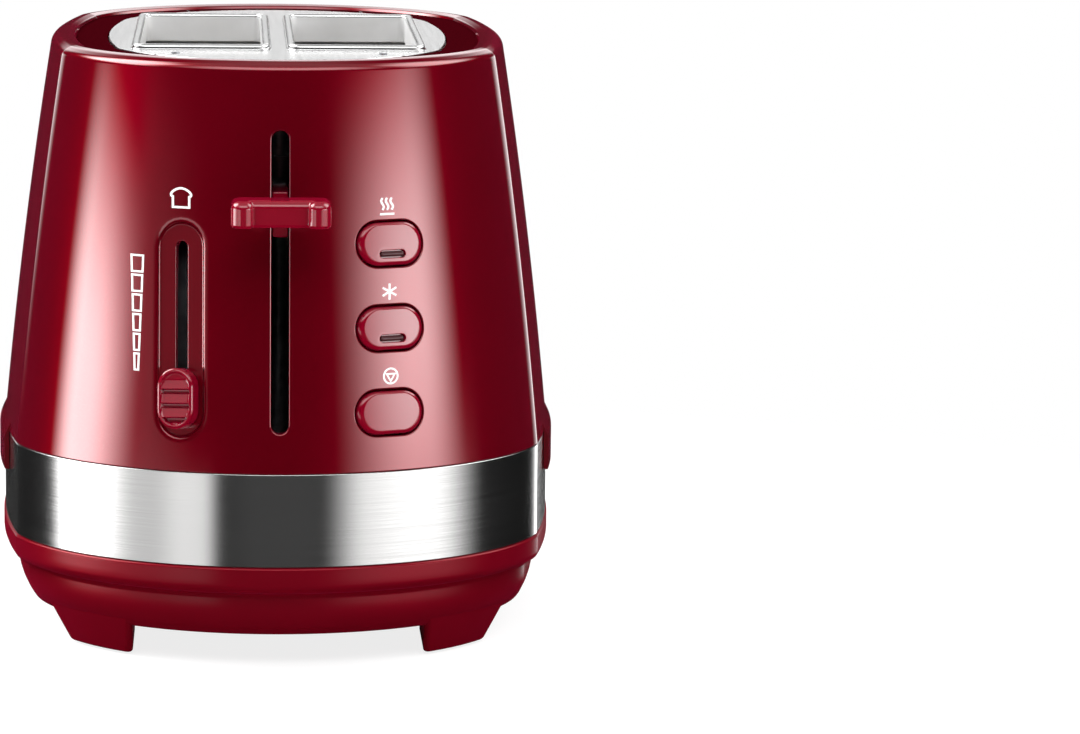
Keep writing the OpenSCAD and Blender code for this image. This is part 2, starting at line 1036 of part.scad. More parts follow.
module tact_switches() {
    color(BLACK)
        for (row = [-1 : 1])
            at_button(row)
                translate([0, plunger_y, board_z]) {
                    translate([0, 0, (switch_h - 1) / 2])
                        cube([switch_w, switch_w, switch_h - 1], center = true);
                    cylinder(h = switch_h, r = plunger_r - 0.2);
                }
}

module indicator_leds() {
    color([0.9, 0.85, 0.7])
        for (row = [0, 1])
            at_button(row)
                rod(0, lens_y - 0.8, board_z, board_z + led_h, led_r);
}

module slider_board() {
    color(GREEN)
        at_slider()
            board();
}

module slide_potentiometer() {
    color(ZINC)
        at_slider()
            difference() {
                prism(board_z, pot_top)
                    square([pot_w, pot_l], center = true);
                prism(pot_top - pot_depth, pot_top + 1)
                    square([pot_slot, pot_l - 6], center = true);
            }
}

module board_screws() {
    color(ZINC) {
        at_buttons()
            at_bosses()
                board_screw();
        at_slider()
            at_bosses()
                board_screw();
    }
}

module board_screw() {
    translate([0, 0, board_z - board_t])
        rotate([180, 0, 0])
            screw(screw_l);
}

module shell_screws() {
    color(ZINC)
        for (sx = [-1, 1], sy = [-1, 1])
            translate([sx * post_x, sy * post_y, post_seat])
                rotate([180, 0, 0])
                    screw(lug_low + lug_h - 4 - post_seat);
}

module chassis_screws() {
    color(ZINC)
        for (sx = [-1, 1], sy = [-1, 1])
            translate([sx * flange_post_x, sy * flange_post_y, chassis_z + sheet_t])
                screw(screw_l);
}

module terminal_block() {
    low = floor_z;
    color([0.85, 0.83, 0.75])
        difference() {
            box(
                vent_x - block_w / 2, vent_x + block_w / 2,
                block_y - block_l / 2, block_y + block_l / 2, low, low + block_h
            );
            for (i = [-1, 1])
                rod(vent_x, block_y + i * block_hole, low + block_hole_z, low + block_h + 1, screw_r);
        }
}

module at_gland() {
    translate([gland_x, -end_y(gland_x, bowl_tuck(gland_z)), gland_z])
        rotate([-90, 0, -gland_a])
            children();
}

module cord_gland() {
    color(BLACK)
        at_gland()
            difference() {
                union() {
                    rod(0, 0, -gland_in, gland_out, gland_r);
                    rod(0, 0, -gland_in, gland_flange_t - gland_in, gland_r + gland_flange);
                }
                rod(0, 0, -gland_in - 1, gland_out + 1, cord_r);
            }
}

module carriage() {
    color(ZINC)
        difference() {
            union() {
                rod(0, rod_y, lever_z - bush_h / 2, lever_z + bush_h / 2, bush_r);
                box(
                    -tab_half, tab_half, cross_y, cross_back,
                    cross_low, lever_z + bush_h / 2
                );
                box(-cross_half, cross_half, cross_y, cross_back, cross_low, cross_top);
                box(
                    0, spring_x + spring_r + 1, rod_y - spring_r, cross_back,
                    lever_z + bush_h / 2 - 3, lever_z + bush_h / 2
                );
                box(
                    -stem_t / 2, stem_t / 2, stem_back, rod_y,
                    lever_z - stem_dn + 2, lever_z + stem_up - 2
                );
            }
            rod(
                0, rod_y, lever_z - bush_h / 2 - 1, lever_z + bush_h / 2 + 1,
                rod_r + running_fit
            );
        }
}

module knob_plan() {
    mid_w = knob_w - 2 * lobe_w;
    r = knob_round;
    difference() {
        union() {
            for (s = [-1, 1]) {
                translate([s * (knob_w / 2 - r), knob_front + r])
                    circle(r);
                translate([s * (knob_w / 2 - r), knob_back - r])
                    circle(r);
                translate([s * (knob_w / 2 - lobe_w + r), knob_front + r])
                    circle(r);
            }
            translate([-knob_w / 2, knob_front + r])
                square([knob_w, knob_d - 2 * r]);
            translate([-knob_w / 2 + r, knob_front])
                square([knob_w - 2 * r, knob_d]);
        }
        translate([-mid_w / 2, knob_front - 1])
            square([mid_w, dish_d + 1]);
    }
}

module lever_knob() {
    color(RED) {
        prism(lever_z - knob_h / 2, lever_z + knob_h / 2)
            knob_plan();
        box(
            -stem_t / 2, stem_t / 2, knob_back - knob_d / 2, stem_back,
            lever_z - stem_dn, lever_z + stem_up
        );
    }
}

module bread_rack(s) {
    color(STEEL)
        translate([s * slot_x, 0, rack_z - rack_t]) {
            translate([-rack_w / 2, -rack_l / 2, 0])
                cube([rack_w, rack_l, rack_t]);
            for (i = [0 : prong_n - 1])
                translate([
                    -prong_w / 2,
                    (i - (prong_n - 1) / 2) * (slot_l - 10) / (prong_n - 1) - prong_t / 2, 0
                ])
                    cube([prong_w, prong_t, rack_t]);
            translate([-neck_w / 2, cross_back, 0])
                cube([neck_w, well_y + sheet_t + 3 - cross_back, rack_t]);
        }
}

module left_bread_rack() {
    bread_rack(-1);
}

module right_bread_rack() {
    bread_rack(1);
}

module armature() {
    color(ZINC)
        box(
            armature_x - armature_w / 2, armature_x + armature_w / 2,
            cross_back - armature_d, cross_back, armature_low, cross_low
        );
}

module browning_thumb() {
    color(RED)
        at_slider()
            translate([0, thumb_rest, 0]) {
                difference() {
                    prism(thumb_low, thumb_top)
                        stadium(thumb_w, thumb_h);
                    for (i = [0 : groove_n - 1])
                        translate([0, (i - (groove_n - 1) / 2) * groove_pitch, thumb_top])
                            cube([thumb_w + 1, groove_w, 2 * groove_d], center = true);
                }
                prism(thumb_foot_low, thumb_low + 1)
                    square([thumb_neck_w, thumb_neck_h], center = true);
                prism(thumb_foot_low, thumb_foot_top)
                    square([thumb_foot_w, thumb_foot_h], center = true);
            }
}

module wiper_tab() {
    color(BLACK)
        at_slider()
            translate([0, thumb_rest, 0])
                prism(tab_low, thumb_foot_low)
                    square([tab_w, tab_h], center = true);
}

module button_cap(row, lens) {
    color(RED)
        at_button(row)
            difference() {
                union() {
                    prism(cap_low, button_proud)
                        stadium(cap_w, cap_h);
                    prism(cap_low, cap_low + cap_flange_t)
                        stadium(button_w + 2 * cap_flange, button_h + 2 * cap_flange);
                    rod(0, plunger_y, plunger_low, cap_low + 1, plunger_r);
                }
                if (lens)
                    translate([0, lens_y, 0])
                        prism(cap_low - 1, button_proud + 1)
                            stadium(lens_w, lens_h);
            }
}

module button_lens(row) {
    color([0.2, 0.1, 0.1])
        at_button(row)
            translate([0, lens_y, 0])
                prism(lens_low, button_proud - 0.2)
                    stadium(lens_w - 0.1, lens_h - 0.1);
}

module reheat_button() {
    button_cap(1, true);
}

module reheat_lens() {
    button_lens(1);
}

module defrost_button() {
    button_cap(0, true);
}

module defrost_lens() {
    button_lens(0);
}

module cancel_button() {
    button_cap(-1, false);
}

module crumb_tray() {
    color(STEEL)
        difference() {
            box(-tray_w / 2, tray_w / 2, tray_front, tray_back, tray_z, tray_z + tray_h);
            box(
                tray_t - tray_w / 2, tray_w / 2 - tray_t, tray_front + tray_t, tray_back - tray_t,
                tray_z + tray_t, tray_z + tray_h + 1
            );
        }
}

module crumb_tray_handle() {
    color(RED) {
        intersection() {
            loft_solid(base_outer());
            difference() {
                box(-handle_w / 2, handle_w / 2, handle_deep + fit, body_l, handle_low, handle_top);
                loft_solid([
                    for (z = [handle_low - 1, handle_top + 1])
                        [bowl_tuck(z) + handle_t, z]
                ]);
            }
        }
        box(
            -lip_w / 2, lip_w / 2, half_l - bowl_in - handle_t + 1, half_l + lip_out,
            lip_z - lip_h / 2, lip_z + lip_h / 2
        );
        box(
            -lip_w / 2, lip_w / 2, tray_back, half_l - bowl_in - 1,
            lip_z - lip_h / 2, lip_z + lip_h / 2
        );
    }
}

module placed() {
    translate([0, frame_y, 0])
        children();
}

placed() body_shell();
placed() steel_band();
placed() base_housing();
placed() foot_pads();
placed() top_plate();
placed() top_plate_rivets();
placed() front_chassis_plate();
placed() rear_chassis_plate();
placed() left_reflector();
placed() right_reflector();
placed() left_heater_board();
placed() centre_heater_board();
placed() right_heater_board();
placed() heating_ribbons();
placed() left_bread_guards();
placed() right_bread_guards();
placed() guide_rod();
placed() lift_spring();
placed() latch_coil();
placed() latch_core();
placed() button_board();
placed() tact_switches();
placed() indicator_leds();
placed() slider_board();
placed() slide_potentiometer();
placed() board_screws();
placed() shell_screws();
placed() chassis_screws();
placed() terminal_block();
placed() cord_gland();
placed() carriage();
placed() lever_knob();
placed() left_bread_rack();
placed() right_bread_rack();
placed() armature();
placed() browning_thumb();
placed() wiper_tab();
placed() reheat_button();
placed() reheat_lens();
placed() defrost_button();
placed() defrost_lens();
placed() cancel_button();
placed() crumb_tray();
placed() crumb_tray_handle();
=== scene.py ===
"""Looks of the two-slot toaster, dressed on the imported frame.

Lengths are millimetres, centred on the body, until a mesh is made in metres.
The front faces -Y, the right side is +X and up is +Z.
"""

import json
from math import asin, atan, atan2, copysign, cos, dist, pi, radians, sin, sqrt, tan

import bpy
import numpy as np
from mathutils import Matrix, Vector
from mathutils.geometry import delaunay_2d_cdt


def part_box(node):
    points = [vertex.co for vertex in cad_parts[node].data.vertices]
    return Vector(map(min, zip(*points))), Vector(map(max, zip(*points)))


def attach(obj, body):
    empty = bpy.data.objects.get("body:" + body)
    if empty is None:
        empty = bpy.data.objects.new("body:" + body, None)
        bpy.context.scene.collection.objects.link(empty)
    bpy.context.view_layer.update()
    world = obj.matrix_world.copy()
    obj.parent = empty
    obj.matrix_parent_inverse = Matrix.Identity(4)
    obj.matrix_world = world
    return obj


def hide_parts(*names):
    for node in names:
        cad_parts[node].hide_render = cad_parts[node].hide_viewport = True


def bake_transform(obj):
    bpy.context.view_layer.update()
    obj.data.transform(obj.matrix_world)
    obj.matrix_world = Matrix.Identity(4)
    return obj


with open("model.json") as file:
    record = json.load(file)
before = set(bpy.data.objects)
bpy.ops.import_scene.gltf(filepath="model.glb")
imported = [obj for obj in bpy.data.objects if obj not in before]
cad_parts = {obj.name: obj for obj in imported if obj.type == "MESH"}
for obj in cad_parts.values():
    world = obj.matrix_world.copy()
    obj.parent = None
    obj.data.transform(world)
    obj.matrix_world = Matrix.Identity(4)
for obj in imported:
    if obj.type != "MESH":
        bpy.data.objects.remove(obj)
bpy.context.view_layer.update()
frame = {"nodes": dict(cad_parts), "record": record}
MM = 0.001


def node_box(node):
    low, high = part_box(node)
    return np.array(low) / MM, np.array(high) / MM


# Sizes read from the frame
FIT = 0.3
band_low, band_high = node_box("steel_band")
BODY_W = band_high[0] - band_low[0]
BODY_L = band_high[1] - band_low[1]
FRAME_Y = (band_high[1] + band_low[1]) / 2
BODY_H = node_box("body_shell")[1][2]
BAND_Z = band_low[2] - FIT / 3
BAND_TOP = band_high[2] + FIT / 3
HALF_W = BODY_W / 2
HALF_L = BODY_L / 2

# Plan and walls of the body
FACE_INSET = 6.75
END_SAG = 63.0
SIDE_POWER = 2.0
CREASE_SOFT = 0.55
WALL = 3.0
DRAFT = radians(5.2)
BOW_R = 1860.0
FACE_HALF = HALF_W - FACE_INSET
END_R = (FACE_HALF ** 2 + END_SAG ** 2) / (2 * END_SAG)
CREASE_A = asin(FACE_HALF / END_R)
CREASE_Y = HALF_L - END_SAG

# Rim, ledge and plate
RIM_R, RIM_FLAT, RIM_DROP = 2.0, 5.5, 1.5
RIM_EDGE_Z = BODY_H - 2.4
RIM_CREST = 5.0
LEDGE_SUNK, LEDGE_T = 0.8, 2.0
LEDGE_Z = BODY_H - RIM_DROP
PLATE_TOP = LEDGE_Z - FIT
PLATE_T = 0.8
SLOT_W, SLOT_L = 39.5, 134.0
BRIDGE_W = 10.5
COLLAR_H = 8.0
LIP_H, LIP_FOOT = 1.75, 2.7

# Band seat and base
SEAT_IN = 1.0 + FIT / 2
SEAT_BACK = SEAT_IN + WALL
LEG_H = 10.0
FLOOR_Z = 12.5
STEP_Z, STEP_IN = 23.5, 4.0
BOWL_IN, BOWL_POWER = 8.0, 3.5
LEDGE_LOW = STEP_Z + 3
BASE_PROUD = 0.5
LEG_X, LEG_W, LEG_T, LEG_SLANT = 46.0, 26.0, 14.0, 6.5
PAD_STAND = 0.5
SKIRT_Y, SKIRT_H, SKIRT_T = 62.0, 12.0, 1.6

# Controls
LEVER_Z = BODY_H - 45.5
LEVER_SLOT_W, LEVER_SLOT_LOW, LEVER_SLOT_TOP = 5.5, 74.54, 168.04
BUTTON_X = 34.6
BUTTON_Z = BAND_TOP + 44.5
BUTTON_PITCH = 26.3
BUTTON_W, BUTTON_H = 23.5, 14.6
BUTTON_FIT, BUTTON_PROUD = 0.6, 1.2
LENS_W, LENS_H, LENS_Y = 9.0, 2.4, -3.2
SLIDER_X = 31.1
SLIDER_Z = BAND_TOP + 44
TRACK_W, TRACK_L = 15.0, 66.7
TRACK_FLOOR = -1.4
TRACK_SLOT_W = 3.9
TRACK_SLOT_L = TRACK_L - 11.6
THUMB_W, THUMB_H = 12.0, 19.0
THUMB_REST = -(TRACK_L - THUMB_H) / 2 + 2.5
THUMB_LOW = TRACK_FLOOR + FIT
THUMB_TOP = THUMB_LOW + 5.5


def taper(z):
    return (z - BAND_TOP) * tan(DRAFT) + (z - BAND_TOP) ** 2 / (2 * BOW_R)


def inner_wall(z):
    return taper(z) + WALL


def bowl_tuck(z):
    rise = np.clip(1 - (np.asarray(z, float) - LEG_H) / (STEP_Z - LEG_H), 0, None)
    return STEP_IN + (BOWL_IN - STEP_IN) * rise ** BOWL_POWER


def bowl_inside(z):
    return bowl_tuck(z) + WALL


RIM_IN = taper(BODY_H - RIM_R) + RIM_R + RIM_FLAT
plate_low, plate_high = node_box("top_plate")
LEDGE_IN = HALF_W - (plate_high[0] - plate_low[0]) / 2 - FIT


def unit(v):
    v = np.asarray(v, float)
    return v / np.maximum(np.linalg.norm(v, axis=-1, keepdims=True), 1e-12)


def lifted(flat, z):
    """Adds one height to 2-D points, or one upward part to flat normals."""
    return np.column_stack([flat, np.full(len(flat), z)])


# Plan outline: dense, with its creases softened, then sampled in columns
OUTLINE_STEP = 0.1
DENSE_END, DENSE_SIDE, SOFT_REACH = 1500, 1200, 30


def dense_outline():
    arc = np.linspace(0, CREASE_A, DENSE_END)
    end = np.stack([END_R * np.sin(arc), -(HALF_L - END_R + END_R * np.cos(arc))], 1)
    t = np.linspace(1, 0, DENSE_SIDE)[1:]
    side = np.stack([HALF_W - FACE_INSET * t ** SIDE_POWER, -CREASE_Y * t], 1)
    quarter = np.concatenate([end, side])
    right = np.concatenate([quarter, (quarter * [1, -1])[::-1][1:]])
    full = np.concatenate([right, (right * [-1, 1])[::-1][1:]])
    length = np.concatenate([[0], np.cumsum(np.hypot(*np.diff(full, axis=0).T))])
    count = 4 * round(length[-1] / OUTLINE_STEP / 4)
    at = np.arange(count) * length[-1] / count
    even = np.stack([np.interp(at, length, full[:, k]) for k in (0, 1)], 1)
    reach = np.arange(-SOFT_REACH, SOFT_REACH + 1)
    weight = np.exp(-0.5 * (reach * OUTLINE_STEP / CREASE_SOFT) ** 2)
    weight /= weight.sum()
    soft = sum(w * np.roll(even, -r, axis=0) for r, w in zip(reach, weight))
    return soft, unit(np.roll(soft, -1, 0) - np.roll(soft, 1, 0)), length[-1]


dense_points, dense_tangents, OUTLINE_LENGTH = dense_outline()
QUARTER = OUTLINE_LENGTH / 4
CREASE_AT = END_R * CREASE_A
END_COLUMNS, SIDE_COLUMNS = 27, 13
NEAR_CREASE = np.array([-3.2, -2.0, -1.2, -0.7, -0.35, 0, 0.35, 0.7, 1.2, 2.0, 3.2])
quarter_at = np.concatenate([
    np.linspace(0, CREASE_AT - 4.5, END_COLUMNS),
    CREASE_AT + NEAR_CREASE,
    np.linspace(CREASE_AT + 5, QUARTER, SIDE_COLUMNS),
])
columns_at = np.concatenate([
    quarter_at,
    2 * QUARTER - quarter_at[::-1][1:],
    2 * QUARTER + quarter_at[1:],
    4 * QUARTER - quarter_at[::-1][1:-1],
])
pick = np.round(columns_at / OUTLINE_LENGTH * len(dense_points)).astype(int) % len(dense_points)
PLAN = dense_points[pick]
PLAN_T = dense_tangents[pick]
COLUMNS = len(PLAN)
BACK = COLUMNS // 2


def ring(inset, z, d_inset, d_z, pick_columns=slice(None)):
    """One level of a form carried round the plan: points and outward normals."""
    plan, tangent = PLAN[pick_columns], PLAN_T[pick_columns]
    grow = np.array([(HALF_W - inset) / HALF_W, (HALF_L - inset) / HALF_L])
    along = lifted(tangent * grow, 0)
    up = lifted(-plan * d_inset / [HALF_W, HALF_L], d_z)
    return lifted(plan * grow, z), unit(np.cross(along, up))


def face_y(x, inset):
    wide = np.clip(x * HALF_W / (HALF_W - inset) / END_R, -1, 1)
    return -(HALF_L - END_R + END_R * np.sqrt(1 - wide ** 2)) * (HALF_L - inset) / HALF_L


def face_u(x, z, inset_at):
    """Distance along the end face, at the band, of the point at x and z."""
    return END_R * np.arcsin(x * HALF_W / (HALF_W - inset_at(z)) / END_R)


SLOPE_STEP = 0.01
REACH_ROUNDS = 14


def face_points(u, z, inset_at, side=-1):
    """Points and outward normals on the front (side -1) or back (side 1) face."""
    a, inset = u / END_R, inset_at(z)
    slope = (inset_at(z + SLOPE_STEP) - inset_at(z - SLOPE_STEP)) / (2 * SLOPE_STEP)
    plan = np.stack([END_R * np.sin(a), -(HALF_L - END_R + END_R * np.cos(a))], 1)
    grow = np.stack([(HALF_W - inset) / HALF_W, (HALF_L - inset) / HALF_L], 1)
    points = np.column_stack([plan * grow, z])
    along = np.column_stack([np.cos(a) * grow[:, 0], np.sin(a) * grow[:, 1], np.zeros(len(a))])
    up = lifted(-plan * slope[:, None] / [HALF_W, HALF_L], 1)
    normals = unit(np.cross(along, up))
    flip = np.array([1, -side, 1])
    return points * flip, normals * flip


# Places: an origin with sideways, upward and outward axes
class Place:
    def __init__(self, origin, across, up, out, side=-1):
        self.origin, self.side = np.asarray(origin, float), side
        self.across, self.up, self.out = (np.asarray(v, float) for v in (across, up, out))

    def moved(self, a, b):
        return Place(self.origin + a * self.across + b * self.up, self.across, self.up, self.out, self.side)

    def at(self, ab, t):
        t = np.broadcast_to(np.asarray(t, float), (len(ab),))
        return self.origin + ab[:, :1] * self.across + ab[:, 1:] * self.up + t[:, None] * self.out

    def turned(self, flat, out):
        """Direction from in-plane parts and an outward part."""
        return unit(flat[:, :1] * self.across + flat[:, 1:] * self.up + np.reshape(out, (-1, 1)) * self.out)

    def reach(self, ab, inset_at):
        """How far out the face lies over each local point."""
        t = np.zeros(len(ab))
        for _ in range(REACH_ROUNDS):
            p = self.at(ab, t)
            t -= (p[:, 1] + self.side * face_y(p[:, 0], inset_at(p[:, 2]))) * self.out[1]
        return t

    def face_normals(self, ab, inset_at):
        p = self.at(ab, self.reach(ab, inset_at))
        return face_points(face_u(p[:, 0], p[:, 2], inset_at), p[:, 2], inset_at, self.side)[1]


def at_face(x, z, rolled=False):
    """A place square to the front face, and its sideways lean over a step up the face."""
    inset = taper(z)
    tilt = atan(tan(DRAFT) + (z - BAND_TOP) / BOW_R)
    a = asin(x * HALF_W / (HALF_W - inset) / END_R)
    turn = atan(tan(a) * (HALF_L - inset) / HALF_L * HALF_W / (HALF_W - inset))
    roll = atan(sin(tilt) * tan(-turn)) if rolled else 0.0
    rz, rx, rr = (Matrix.Rotation(angle, 3, axis)
                  for angle, axis in ((turn, "Z"), (pi / 2 - tilt, "X"), (roll, "Z")))
    return Place((x, face_y(x, inset), z), *np.array(rz @ rx @ rr).T), sin(tilt) * tan(turn)


buttons_place, BUTTON_LEAN = at_face(BUTTON_X, BUTTON_Z)
slider_place, _ = at_face(-SLIDER_X, SLIDER_Z, rolled=True)


def button_place(row):
    return buttons_place.moved(row * BUTTON_PITCH * BUTTON_LEAN, row * BUTTON_PITCH)


# Closed loops, counter-clockwise, with outward normals in their plane
def rounded_loop(corners, steps, closed=True):
    """A path through (a, b, radius) corners; radius None marks a point of a smooth curve.

    Returns points and tangents.
    """
    points, tangents = [], []
    n = len(corners)
    for i, (a, b, r) in enumerate(corners):
        p = np.array((a, b), float)
        before = np.array(corners[i - 1][:2], float) if closed or i > 0 else None
        after = np.array(corners[(i + 1) % n][:2], float) if closed or i < n - 1 else None
        d_in = unit(p - before) if before is not None else unit(after - p)
        d_out = unit(after - p) if after is not None else d_in
        cross = d_in[0] * d_out[1] - d_in[1] * d_out[0]
        turn = atan2(cross, float(d_in @ d_out))
        if r is None or abs(turn) < 1e-4:
            points.append(p)
            tangents.append(unit(d_in + d_out))
            continue
        start = p - d_in * r * tan(abs(turn) / 2)
        middle = start + copysign(r, turn) * np.array((-d_in[1], d_in[0]))
        for k in range(steps + 1):
            c, s = cos(turn * k / steps), sin(turn * k / steps)
            spin = np.array(((c, -s), (s, c)))
            points.append(middle + spin @ (start - middle))
            tangents.append(spin @ d_in)
    return np.array(points), np.array(tangents)


def outward(tangents):
    return np.stack([tangents[:, 1], -tangents[:, 0]], 1)


def stadium(w, h, arc=12, side=10):
    """Points and outward normals of a rounded-end slot; all stadiums of one direction match up."""
    r, half = min(w, h) / 2, abs(w - h) / 2
    along = np.array((1, 0)) if w > h else np.array((0, 1))
    start = -pi / 2 if w > h else 0.0
    points, normals = [], []
    for k, sign in ((0, 1), (1, -1)):
        angles = start + k * pi + np.linspace(0, pi, arc + 1)
        flat = np.stack([np.cos(angles), np.sin(angles)], 1)
        points.append(sign * along * half + r * flat)
        normals.append(flat)
        a = points[-1][-1]
        b = a - 2 * sign * along * half
        line = np.linspace(0, 1, side + 1)[1:-1, None]
        points.append(a + (b - a) * line)
        normals.append(np.repeat(flat[-1:], side - 1, 0))
    return np.concatenate(points), np.concatenate(normals)


def circle(r, count):
    a = np.linspace(0, 2 * pi, count, endpoint=False)
    flat = np.stack([np.cos(a), np.sin(a)], 1)
    return r * flat, flat


def rounded_rect(w, h, r, steps, spacing=6.0):
    """A rectangle with rounded corners and evenly split sides."""
    corners = []
    ends = [(w / 2, -h / 2), (w / 2, h / 2), (-w / 2, h / 2), (-w / 2, -h / 2)]
    for k, end in enumerate(ends):
        corners.append((*end, r))
        nxt = np.array(ends[(k + 1) % 4])
        run = nxt - np.array(end)
        size = np.linalg.norm(run)
        parts = max(1, round((size - 2 * r) / spacing))
        for m in range(1, parts):
            share = (r + (size - 2 * r) * m / parts) / size
            corners.append((*(np.array(end) + run * share), None))
    points, tangents = rounded_loop(corners, steps)
    return points, outward(tangents)


def inside(points, polygon):
    x, y = points[:, :1], points[:, 1:]
    ax, ay = polygon[:, 0], polygon[:, 1]
    bx, by = np.roll(ax, -1), np.roll(ay, -1)
    rise = np.where(by == ay, 1e-12, by - ay)
    hits = ((ay > y) != (by > y)) & (x < (bx - ax) * (y - ay) / rise + ax)
    return hits.sum(1) % 2 == 1


ROW_PITCH, ROW_START, ROW_SHIFT, EDGE_CLEAR = 0.866, 0.3, 0.5, 0.55


def scatter(boundary, holes, spacing):
    """Evenly staggered points inside a boundary, clear of its edge and of the holes."""
    low, high = boundary.min(0), boundary.max(0)
    rows = []
    for k, z in enumerate(np.arange(low[1] + spacing / 2, high[1], spacing * ROW_PITCH)):
        xs = np.arange(low[0] + spacing * (ROW_START + ROW_SHIFT * (k % 2)), high[0], spacing)
        rows.append(lifted(xs[:, None], z))
    points = np.concatenate(rows)
    keep = inside(points, boundary)
    for hole in holes:
        keep &= ~inside(points, hole)
    points = points[keep]
    edge = np.concatenate([boundary, *holes])
    far = np.array([np.hypot(*(edge - p).T).min() for p in points]) if len(points) else np.zeros(0)
    return points[far > spacing * EDGE_CLEAR]


class Build:
    """Gathers vertices with their normals, and faces, of one piece."""

    def __init__(self):
        self.points, self.normals, self.faces, self.slots = [], [], [], []

    def add(self, points, normals):
        start = len(self.points)
        self.points.extend(np.asarray(points, float))
        self.normals.extend(np.asarray(normals, float))
        return np.arange(start, len(self.points))

    def at(self, ids):
        return np.array([self.points[i] for i in ids])

    def face(self, corners, slot=0):
        self.faces.append([int(c) for c in corners])
        self.slots.append(slot)

    def strip(self, a, b, closed=True, skip=(), slot=0):
        n = len(a)
        for j in range(n if closed else n - 1):
            if j not in skip:
                k = (j + 1) % n
                self.face((a[j], a[k], b[k], b[j]), slot)

    def tube(self, rings):
        for a, b in zip(rings, rings[1:]):
            self.strip(a, b)

    def wall(self, loop, normals, z0, z1, sign):
        """An upright wall over a loop that faces out of it (1) or into it (-1)."""
        rings = [self.add(lifted(loop, z), lifted(sign * normals, 0)) for z in (z0, z1)]
        self.strip(*rings)
        return rings

    def patch(self, boundary, holes=(), spacing=None, surface=None, extra=None):
        """Fills a boundary (ids, 2-D points) around holes with triangles on a surface."""
        ids, flat = (list(part) for part in zip(boundary, *holes))
        edges, start = [], 0
        for loop in ids:
            edges += [(start + k, start + (k + 1) % len(loop)) for k in range(len(loop))]
            start += len(loop)
        inner = scatter(flat[0], flat[1:], spacing) if spacing else np.zeros((0, 2))
        if extra is not None:
            inner = np.concatenate([inner, extra])
        if len(inner):
            ids.append(self.add(*surface(inner)))
            flat.append(inner)
        ids, points = np.concatenate(ids), np.concatenate(flat)
        out = delaunay_2d_cdt([Vector(p) for p in points], edges, [], 0, 1e-6)
        source = [origin[0] for origin in out[3]]
        triangles = np.array([[source[v] for v in tri] for tri in out[2]])
        centres = points[triangles].mean(1)
        keep = inside(centres, boundary[1])
        for hole in holes:
            keep &= ~inside(centres, hole[1])
        for tri in triangles[keep]:
            self.face(ids[tri])

    def sheet(self, ids, holes, spacing, up):
        """Fills a level ring around holes, facing up (1) or down (-1)."""
        here = self.at(ids)
        self.patch((ids, here[:, :2]), holes, spacing,
                   lambda ab: (lifted(ab, here[0, 2]), np.tile((0, 0, up), (len(ab), 1))))

    def piece(self, name, body, slot, node=None, materials=None, stretch=None):
        """Makes the mesh, which rides its body; with stretch it stays fixed where it is made."""
        points, normals = np.array(self.points), unit(np.array(self.normals))
        faces = []
        for corners in self.faces:
            p = points[corners]
            facing = np.cross(p[1] - p[0], p[2] - p[0])
            if len(corners) == 4:
                facing = facing + np.cross(p[2] - p[0], p[3] - p[0])
            faces.append(corners if facing @ normals[corners].sum(0) >= 0 else corners[::-1])
        mesh = bpy.data.meshes.new(name)
        mesh.from_pydata((points + [0, FRAME_Y, 0]) * MM, [], faces)
        for material in materials or [MATERIALS[slot]]:
            mesh.materials.append(material)
        mesh.polygons.foreach_set("material_index", self.slots)
        mesh.shade_smooth()
        mesh.normals_split_custom_set_from_vertices(normals)
        obj = bpy.data.objects.new(name, mesh)
        bpy.context.scene.collection.objects.link(obj)
        if stretch:
            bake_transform(obj)
        else:
            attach(obj, body)
        if node:
            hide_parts(node)


def unrolled(points, inset_at):
    """Points of an end face as distance along it and height."""
    return np.column_stack([face_u(points[:, 0], points[:, 2], inset_at), points[:, 2]])


LIP_STEPS = 6
BACK_FACING = -0.6


def through(build, place, loop, normals, wide, deep, outer_at, inner_at, between=()):
    """An opening with a rounded lip; between adds rings (loop, t, facing).

    Returns its outer and inner edge, each as ids and 2-D points.
    """
    rings = []
    for k in range(LIP_STEPS + 1):
        phi = pi / 2 * k / LIP_STEPS
        ab = loop + normals * wide * (1 - sin(phi))
        t = place.reach(ab, outer_at) - deep * (1 - cos(phi))
        facing = unit(wide * cos(phi) * place.face_normals(ab, outer_at)
                      - deep * sin(phi) * place.turned(normals, 0))
        rings.append(build.add(place.at(ab, t), facing))
    for ab, t, facing in between:
        rings.append(build.add(place.at(ab, t), facing))
    last = between[-1][0] if between else loop
    low = place.at(last, place.reach(last, inner_at))
    rings.append(build.add(low, place.turned(-normals, BACK_FACING)))
    build.tube(rings)
    return (rings[0], unrolled(build.at(rings[0]), outer_at)), (rings[-1], unrolled(low, inner_at))


def window(rings, rows, half, middle):
    """Boundary of a block of columns and rows that a patch will fill: ids and skipped columns."""
    columns = [(middle + j) % COLUMNS for j in range(-half, half + 1)]
    first, last = rows
    ids = [rings[first][c] for c in columns]
    ids += [rings[i][columns[-1]] for i in range(first + 1, last)]
    ids += [rings[last][c] for c in columns[::-1]]
    ids += [rings[i][columns[0]] for i in range(last - 1, first, -1)]
    return np.array(ids), set(columns[:-1])


WINDOW_SPACING = 3.4


